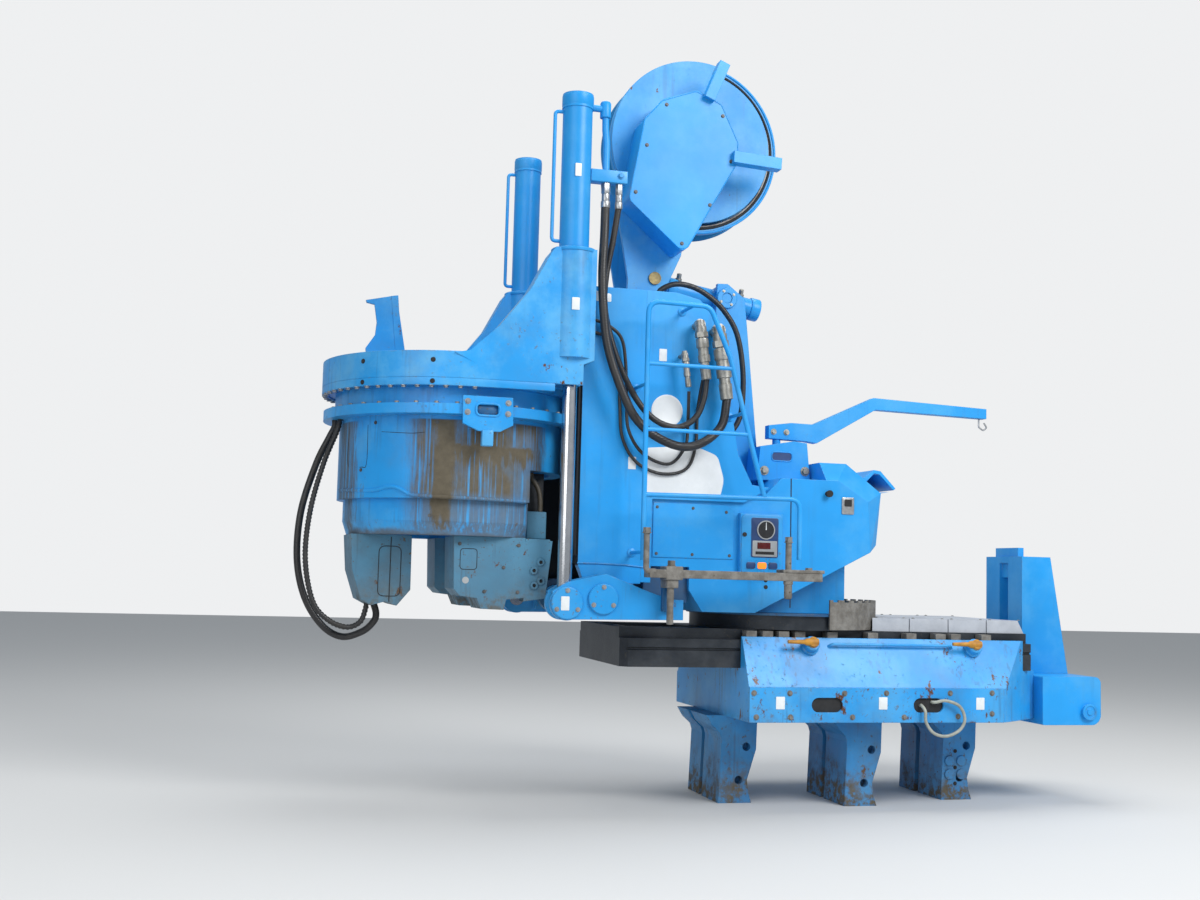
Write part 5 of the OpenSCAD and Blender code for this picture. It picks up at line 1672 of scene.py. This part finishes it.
@dataclass
class HousingDress(Bench):
    """The turning housing's covers, latch, control panel, post, hood and arm."""

    body: Part = Part.TURN
    face_y: float = -0.540
    panel_y: float = -0.576
    post_y: float = -0.340
    clip_y: float = -0.245

    def build(self) -> None:
        """Makes what is fixed to the turning housing."""
        y = self.face_y
        screws = (
            (-1.262, 1.655), (-1.055, 1.655), (-0.860, 1.640), (-1.262, 1.400), (-1.055, 1.400),
            (-0.838, 1.400)
        )
        seam = [(-0.478, 1.845), (-0.472, 1.845), (-0.468, 1.12), (-0.474, 1.12)]
        latch = self.pane((-0.165, 1.655), (-0.090, 1.752), 0.008)
        grip = self.pane((-0.150, 1.700), (-0.105, 1.740), 0.006)
        for side, sign, facing in SIDES:
            self.bolts(
                f"service_screws_{side}", at_depth(sign * 0.544, screws), facing, 0.006, "old_screws", 0.003
            )
            face = -sign * y
            self.slab(
                f"housing_seam_{side}", seam, face, face + sign * 0.0012, "hollow_dark", 0.0, slot="paint"
            )
            self.slab(
                f"latch_{side}", latch, face, face + sign * 0.006, "clean_plating", 0.002, slot="silver"
            )
            low, high = face + sign * 0.0055, face + sign * 0.0075
            self.slab(f"latch_grip_{side}", grip, low, high, "hollow_dark", 0.0, slot="dark_steel")
        knob = [
            (0.0, 0.0), (0.016, 0.0), (0.012, 0.006), (0.012, 0.020), (0.020, 0.024), (0.020, 0.034),
            (0.0, 0.036)
        ]
        self.lathe(
            "housing_knob", (-0.252, y, 1.767), Facing.NEAR, knob, "hollow_dark", 24, slot="dark_steel"
        )
        self.bolts(
            "housing_plugs", [(-0.619, y, 1.270), (-0.618, y, 1.232)], Facing.NEAR, 0.008, "hollow_dark",
            0.002, sides=12
        )
        self.panel()
        self.post()

    def panel(self) -> None:
        """The control panel's frame, dial, display, lamp and buttons."""
        y = self.panel_y
        parts = []
        for name, low, high, corner, out, back, finish, bevel in (
            ("rim", (-0.782, 1.303), (-0.540, 1.633), 0.03, 0.006, -0.002, "foot_paint", 0.003),
            ("sheet", (-0.725, 1.395), (-0.565, 1.615), 0.012, 0.009, 0.005, "panel_navy", 0.001),
            ("card", (-0.718, 1.400), (-0.572, 1.488), 0.006, 0.011, 0.008, "panel_grey", 0.001),
            ("display", (-0.690, 1.442), (-0.612, 1.478), 0, 0.013, 0.010, "display_red", 0.001),
            ("strip", (-0.700, 1.412), (-0.590, 1.428), 0, 0.0125, 0.010, "hollow_dark", 0.001)
        ):
            sheet = self.pane(low, high, corner)
            parts.append(self.slab(f"panel_{name}", sheet, y - out, y - back, finish, bevel, ride=False))
        middle = (-0.640, y - 0.008, 1.548)
        face = [(0.0, 0.0), (0.050, 0.0), (0.050, 0.004), (0.0, 0.0045)]
        parts.append(self.lathe("dial_face", middle, Facing.NEAR, face, "hollow_dark", ride=False))
        ring = [(0.047, 0.0), (0.053, 0.0), (0.053, 0.006), (0.047, 0.006), (0.047, 0.0)]
        parts.append(self.lathe("dial_ring", middle, Facing.NEAR, ring, "panel_grey", ride=False))
        needle = [(-0.643, 1.548), (-0.637, 1.548), (-0.6385, 1.590), (-0.6415, 1.590)]
        parts.append(
            self.slab("dial_needle", needle, y - 0.0145, y - 0.0125, "blank_field", 0.0, ride=False)
        )
        buttons = ((-0.725, "panel_navy"), (-0.660, "lamp_orange"), (-0.595, "panel_navy"))
        for k, (x, finish) in enumerate(buttons):
            button = self.pane((x - 0.026, 1.332), (x + 0.026, 1.368), 0.012)
            parts.append(
                self.slab(f"panel_button_{k}", button, y - 0.012, y - 0.004, finish, 0.002, ride=False)
            )
        self.join("panel_face", parts, "dark_steel")
        plug = [(0.0, 0.0), (0.012, 0.0), (0.012, 0.006), (0.0, 0.007)]
        self.lathe(
            "panel_plug", (-0.765, y - 0.006, 1.520), Facing.NEAR, plug, "hollow_dark", 20,
            slot="dark_steel"
        )

    def post(self) -> None:
        """Bolts and a rim on the hose post, the hood's glands, and the hook at the arm's end."""
        bolts = at_depth(self.post_y, ((-0.560, 1.900), (-0.308, 1.905)))
        self.bolts("post_bolts", bolts, Facing.NEAR, 0.018, washer=0.027)
        rim = self.pane((-0.516, 1.959), (-0.389, 2.011), 0.024)
        self.slab("post_slot_shade", rim, -0.3407, -0.3398, "panel_navy", 0.0)
        self.tube("post_slot_rim", self.closed(rim, -0.3405), 0.004, sides=8)
        for k, (y, z, r) in enumerate(((-0.22, 1.735, 0.036), (-0.10, 1.725, 0.028), (0.02, 1.735, 0.036))):
            nut, neck = r * 0.84, r * 0.70
            gland = [
                (0.0, 0.0), (r, 0.0), (r, 0.020), (nut, 0.024), (nut, 0.050), (neck, 0.056), (0.0, 0.057)
            ]
            self.lathe(
                f"hood_gland_{k}", (0.118, y, z), Facing.REAR, gland, "clean_plating", 24, slot="silver"
            )
        self.bolts(
            "arm_bolts", [(-0.480, -0.276, 2.135), (-0.400, -0.276, 2.135)], Facing.NEAR, 0.012,
            body=Part.ARM
        )
        hook = ((0.870, 2.288), (0.870, 2.235), (0.900, 2.215), (0.925, 2.235), (0.905, 2.262))
        line = self.rounded(at_depth(self.clip_y, hook), 0.012)
        self.tube("arm_clip", line, 0.005, "clean_plating", 10, slot="silver", body=Part.ARM)


@dataclass
class TiltDress(Bench):
    """The tilt cylinder's trunnion discs, collars and ports."""

    body: Part = Part.TILT_BARREL
    pivot: Point = (-0.727, 0.0, 2.935)
    eye: Point = (-1.190, 0.0, 3.010)
    bore: float = 0.0315

    def build(self) -> None:
        """Makes the small pieces of the tilt cylinder."""
        back = (Vector(self.pivot) - Vector(self.eye)).normalized()
        centre = Vector(self.pivot)
        for name, at, length in (("gland", -0.350, 0.060), ("tail", 0.180, 0.064)):
            half = [(0.058, 0.0), (0.066, 0.003), (0.068, 0.008)]
            collar = [*half, *((r, length - z) for r, z in reversed(half))]
            self.lathe(f"tilt_{name}", tuple(centre + back * at), tuple(back), collar, sides=48)
        bore = self.bore
        disc = [
            (bore, 0.0), (0.060, 0.0), (0.062, 0.003), (0.062, 0.010), (0.058, 0.013), (bore, 0.013),
            (bore, 0.0)
        ]
        x, _, z = self.pivot
        for side, sign, facing in SIDES:
            self.lathe(f"trunnion_disc_{side}", (x, sign * 0.1122, z), facing, disc, body=Part.TURN)
            spots = [
                (x + 0.046 * math.cos(a), sign * 0.1252, z + 0.046 * math.sin(a))
                for a in (0.5, 2.1, 3.7, 5.3)
            ]
            self.bolts(f"trunnion_bolts_{side}", spots, facing, 0.006, body=Part.TURN)
        port = [(0.0, 0.0), (0.020, 0.0), (0.020, 0.020), (0.014, 0.024), (0.014, 0.050), (0.0, 0.052)]
        for k, at in enumerate((-0.28, 0.12)):
            foot = centre + back * at + Vector((0.0, -0.020, 0.050))
            self.lathe(
                f"tilt_port_{k}", tuple(foot), (0.0, -0.5, 0.87), port, "plated_steel", 20, slot="brass"
            )


@dataclass
class ReelDress(Bench):
    """The reel cover's screws and edges, the reel's rims with a ring of painted shade in the gap between
    them, and its hose turns.
    """

    axis: Point = (-0.952, 0.0, 3.825)
    cover_y: float = -0.3603
    sides: int = 96
    rows: int = 8
    hose_r: float = 0.0085
    wound_y: Flat = (-0.0715, 0.0945)
    wound_r: tuple[float, float, float] = (0.1905, 0.43, 0.438)

    def build(self) -> None:
        """Makes the small pieces of the reel."""
        y = self.cover_y
        spots = [
            (-1.205, 3.985), (-0.862, 3.955), (-1.318, 3.735), (-0.805, 3.690), (-1.378, 3.455),
            (-0.930, 3.420), (-1.095, 3.180)
        ]
        self.bolts("cover_screws", at_depth(y, spots), Facing.NEAR, 0.008, "old_screws", 0.005)
        outline = [
            (-1.2325, 4.0063), (-1.0275, 4.0852), (-0.871, 4.021), (-0.766, 3.808), (-0.766, 3.690),
            (-1.062, 3.157), (-1.110, 3.152), (-1.404, 3.400), (-1.413, 3.425), (-1.334, 3.882),
            (-1.330, 3.890)
        ]
        line = self.rounded(at_depth(y + 0.001, [*outline, outline[0]]), 0.03, 4)
        self.tube("cover_edge", line, 0.004, "reel_paint", 8)
        # the middle ring is painted shade: a near-black ring for the shadowed gap between the blue band and
        # the worn rim
        rims = ((0.512, "reel_paint", 0.008), (0.487, "hollow_dark", 0.008), (0.474, "worn_rim", 0.005))
        for k, (radius, tone, thick) in enumerate(rims):
            ring = [
                Vector(self.around(radius, math.tau * i / self.sides, -0.112))
                for i in range(self.sides + 1)
            ]
            self.tube(f"reel_rim_{k}", ring, thick, tone, 10, slot="paint", body=Part.REEL)
        self.turns()
        pin = [(0.0, 0.0), (0.037, 0.0), (0.037, 0.013), (0.032, 0.013), (0.031, 0.010), (0.0, 0.010)]
        self.lathe("tilt_eye_pin", (-1.190, -0.150, 3.010), Facing.NEAR, pin, "brass_pin")

    def around(self, radius: float, angle: float, y: float) -> Point:
        """A place round the reel's axis."""
        return (self.axis[0] + radius * math.cos(angle), y, self.axis[2] + radius * math.sin(angle))

    def turns(self) -> None:
        """The wound hose as turns side by side, in place of the plain ring."""
        shape = bmesh.new()
        (low, high), (core, layer, middle) = self.wound_y, self.wound_r
        pitch = (high - low) / self.rows
        profile: list[Flat] = [(core, low), (layer, low)]
        for row in range(self.rows):
            for a in (math.pi * step / 6 for step in range(7)):
                profile.append((
                    middle + self.hose_r * math.sin(a), low + pitch * (row + 0.5) - math.cos(a) * pitch / 2
                ))
        profile += [(layer, high), (core, high)]
        angles = [math.tau * k / self.sides for k in range(self.sides)]
        loops = [[shape.verts.new(self.around(r, a, y)) for a in angles] for r, y in profile]
        self.skin(shape, [*loops, loops[0]])
        bmesh.ops.remove_doubles(shape, verts=shape.verts, dist=MERGE_GAP)
        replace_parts(self.close_shape("wound_hose", shape, "hose_rubber", 0.0, body=Part.REEL), "reel_hose")


@dataclass
class SaddleDress(Bench):
    """The saddle's bolts, valves, pipe, drain loop and blank plates, and the screws on the slide's covers.
    """

    body: Part = Part.SADDLE
    side_y: float = 0.640
    slope: Flat = (0.268, 0.135)
    clamp_y: float = -0.2302

    def build(self) -> None:
        """Makes what is fixed to the saddle and the slide."""
        pin = [
            (0.0, 0.0), (0.046, 0.0), (0.048, 0.003), (0.048, 0.008), (0.036, 0.010), (0.034, 0.006),
            (0.020, 0.006), (0.018, 0.012), (0.0, 0.013)
        ]
        upper = [
            (-0.715, 0.655), (-0.505, 0.655), (-0.180, 0.655), (0.075, 0.658), (0.470, 0.660),
            (0.735, 0.662)
        ]
        lower = [
            (-0.700, 0.525), (-0.500, 0.525), (-0.130, 0.525), (0.185, 0.525), (0.520, 0.530),
            (0.735, 0.545)
        ]
        for side, sign, facing in SIDES:
            face, wall = sign * self.side_y, sign * 0.6262
            self.bolts(
                f"apron_bolts_{side}", at_depth(face, upper + lower), facing, 0.010, "muddy_steel",
                washer=0.016
            )
            for k, x in enumerate((-0.282, 0.336)):
                oval = self.pane((x - 0.092, 0.552), (x + 0.092, 0.630), 0.039)
                self.slab(
                    f"slot_shade_{side}_{k}", oval, wall, wall + sign * 0.0012, "hollow_dark", 0.0,
                    slot="dark_steel"
                )
            for k, x in enumerate((-0.560, 0.055, 0.660)):
                plate = self.pane((x - 0.026, 0.568), (x + 0.026, 0.636), PLATE_CORNER)
                self.slab(
                    f"apron_plate_{side}_{k}", plate, face, face + sign * 0.002, "blank_field", PLATE_BEVEL
                )
        self.valves()
        self.pipes()
        self.clamps()
        self.slide()
        for side, sign, facing in SIDES:
            self.lathe(f"rear_pin_{side}", (1.452, sign * 0.515, 0.544), facing, pin, "saddle_paint")

    def valves(self) -> None:
        """Two valves with amber handles on the near slope."""
        rise, run = self.slope
        slope = math.atan2(rise, run)
        axis = Vector((0.0, -math.sin(slope), math.cos(slope)))
        boss = [
            (0.0, 0.0), (0.052, 0.0), (0.052, 0.014), (0.044, 0.018), (0.044, 0.050), (0.038, 0.056),
            (0.0, 0.057)
        ]
        stem = [(0.0, 0.0), (0.026, 0.0), (0.030, 0.005), (0.030, 0.024), (0.018, 0.030), (0.0, 0.032)]
        lever = [
            (0.0, 0.0), (0.010, 0.002), (0.012, 0.060), (0.013, 0.100), (0.020, 0.112), (0.022, 0.150),
            (0.020, 0.180), (0.0, 0.184)
        ]
        parts = []
        for k, x in enumerate((-0.345, 0.668)):
            foot = Vector((x, -0.505 - 0.050 * run / rise, 0.905)) - axis * 0.004
            spot = foot + axis * 0.068
            for name, place, way, profile, finish, sides in (
                ("boss", tuple(foot), tuple(axis), boss, "saddle_paint", 28),
                ("stem", tuple(foot + axis * 0.050), tuple(axis), stem, "handle_amber", 24),
                ("lever", (x - 0.155, spot.y, spot.z), Facing.REAR, lever, "handle_amber", 20),
            ):
                parts.append(
                    self.lathe(f"valve_{name}_{k}", place, way, profile, finish, sides, ride=False)
                )
        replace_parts(self.join("saddle_valve_set", parts, "paint"), "saddle_valves")

    def pipes(self) -> None:
        """The thin pipe between the valves and the pale drain loop."""
        y, z = -0.538, 0.922
        pipe = [
            (-0.235, y + 0.022, z - 0.02), (-0.215, y - 0.010, z), (0.520, y - 0.010, z),
            (0.545, y + 0.022, z - 0.02)
        ]
        self.tube("lock_pipe", self.rounded(pipe, 0.02), 0.008, "saddle_paint", 12)
        points = [
            (0.290, -0.626, 0.590), (0.290, -0.646, 0.590), (0.300, -0.670, 0.560), (0.302, -0.676, 0.500),
            (0.350, -0.680, 0.440), (0.430, -0.680, 0.425), (0.510, -0.680, 0.460), (0.540, -0.680, 0.520),
            (0.510, -0.676, 0.590), (0.430, -0.668, 0.620), (0.375, -0.654, 0.611), (0.360, -0.641, 0.610),
            (0.360, -0.626, 0.610)
        ]
        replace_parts(self.tube("drain_tube_loop", self.smooth(points), 0.009, "drain_tube"), "drain_loop")

    def clamps(self) -> None:
        """Plugs and discs on the clamp legs' near faces."""
        discs = [(x, self.clamp_y, z) for x in (0.690, 0.768) for z in (0.150, 0.228)]
        self.bolts("clamp_discs", discs, Facing.NEAR, 0.030, "clamp_paint", 0.003, 0.031, 32)
        screws = [(0.729, self.clamp_y, z) for z in (0.095, 0.189, 0.285)]
        self.bolts("clamp_screws", screws, Facing.NEAR, 0.008, "hollow_dark", 0.003, sides=12)

    def slide(self) -> None:
        """The slide covers' screws."""
        spots = [
            (0.0805 + k * 0.25 + dx, sign * 0.395, 1.0703) for k in range(4) for dx in (0.03, 0.22)
            for sign in (-1, 1)
        ]
        self.bolts(
            "slide_cover_screws", [s for s in spots if s[0] > 0.3], Facing.UP, 0.007, high=0.003,
            body=Part.SLIDE
        )


@dataclass
class Studio:
    """The plain floor, the soft lights and the camera."""

    spot: Point = (-3.567, -8.0, 1.27)
    turn: float = 14.808
    pitch: float = 5.053
    roll: float = 1.546
    lens: float = 42.66
    sensor: float = 36.0
    floor_size: float = 30.0
    floor_tone: Colour = (0.62, 0.62, 0.61)
    sky_light: Colour = (0.80, 0.86, 0.93)
    sky_seen: Colour = (0.86, 0.87, 0.88)

    def build(self) -> None:
        """Makes the floor, the lights, the world and the camera."""
        self.floor()
        self.lights()
        self.camera()

    def floor(self) -> None:
        """A plain pale floor under the machine."""
        shape = bmesh.new()
        bmesh.ops.create_grid(shape, x_segments=1, y_segments=1, size=self.floor_size)
        mesh = bpy.data.meshes.new("studio_floor")
        shape.to_mesh(mesh)
        shape.free()
        floor = bpy.data.objects.new("studio_floor", mesh)
        bpy.context.scene.collection.objects.link(floor)
        pale = bpy.data.materials.new("floor_pale")
        pale.use_nodes = True
        facts = {"Base Color": self.floor_tone, "Roughness": 0.85}
        NodeSheet(pale.node_tree).fill(pale.node_tree.nodes["Principled BSDF"], facts)
        mesh.materials.append(pale)

    def lights(self) -> None:
        """A pale world, a large key from the upper right front, a weak fill and a light above."""
        world = bpy.data.worlds.new("soft_room")
        bpy.context.scene.world = world
        world.use_nodes = True
        sheet = NodeSheet(world.node_tree)
        back = world.node_tree.nodes["Background"]
        sheet.fill(back, {"Color": self.sky_light, "Strength": 0.50})
        seen = sheet.add("ShaderNodeBackground", {"Color": self.sky_seen})
        direct = sheet.add("ShaderNodeLightPath").outputs["Is Camera Ray"]
        mixer = sheet.add("ShaderNodeMixShader", {0: direct, 1: back.outputs[0], 2: seen.outputs[0]})
        sheet.fill(world.node_tree.nodes["World Output"], {"Surface": mixer.outputs[0]})
        for name, place, aim, size, power in (
            ("key", (3.5, -8.5, 8.0), (-1.0, 0.0, 1.8), 5.0, 1000.0),
            ("fill", (-7.0, -7.0, 4.5), (-1.2, 0.0, 1.8), 6.0, 240.0),
            ("top", (-1.0, 1.0, 9.0), (-1.0, 0.0, 2.0), 6.0, 420.0),
        ):
            lamp = bpy.data.lights.new(name, "AREA")
            lamp.size, lamp.energy = size, power
            holder = bpy.data.objects.new(name, lamp)
            bpy.context.scene.collection.objects.link(holder)
            holder.location = place
            holder.rotation_euler = (Vector(aim) - Vector(place)).to_track_quat("-Z", "Y").to_euler()

    def camera(self) -> None:
        """The camera at the photograph's place and angle."""
        turn, pitch, roll = (math.radians(a) for a in (self.turn, self.pitch, self.roll))
        ahead = Vector((
            math.sin(turn) * math.cos(pitch), math.cos(turn) * math.cos(pitch), math.sin(pitch)
        ))
        level = ahead.cross(Vector((0.0, 0.0, 1.0))).normalized()
        upright = level.cross(ahead)
        right = math.cos(roll) * level + math.sin(roll) * upright
        up = math.cos(roll) * upright - math.sin(roll) * level
        lens = bpy.data.cameras.new("eye")
        lens.sensor_width, lens.lens = self.sensor, self.lens
        holder = bpy.data.objects.new("eye", lens)
        bpy.context.scene.collection.objects.link(holder)
        turned = Matrix((right, up, -ahead)).transposed().to_4x4()
        holder.matrix_world = Matrix.Translation(Vector(self.spot)) @ turned
        bpy.context.scene.camera = holder


def main() -> None:
    """Builds the machine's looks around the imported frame."""
    logging.basicConfig(level=logging.INFO, format="%(message)s")
    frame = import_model()
    bpy.context.scene.view_settings.view_transform = "Standard"
    Studio().build()
    stock = Stock()
    Painting().apply(frame, stock)
    for assembly in (MastDress, RingFrame, ChuckHead, HousingDress, TiltDress, ReelDress, SaddleDress):
        LOG.info("building %s", assembly.__name__)
        assembly(stock).build()
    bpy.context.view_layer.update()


if __name__ == "__main__":
    main()
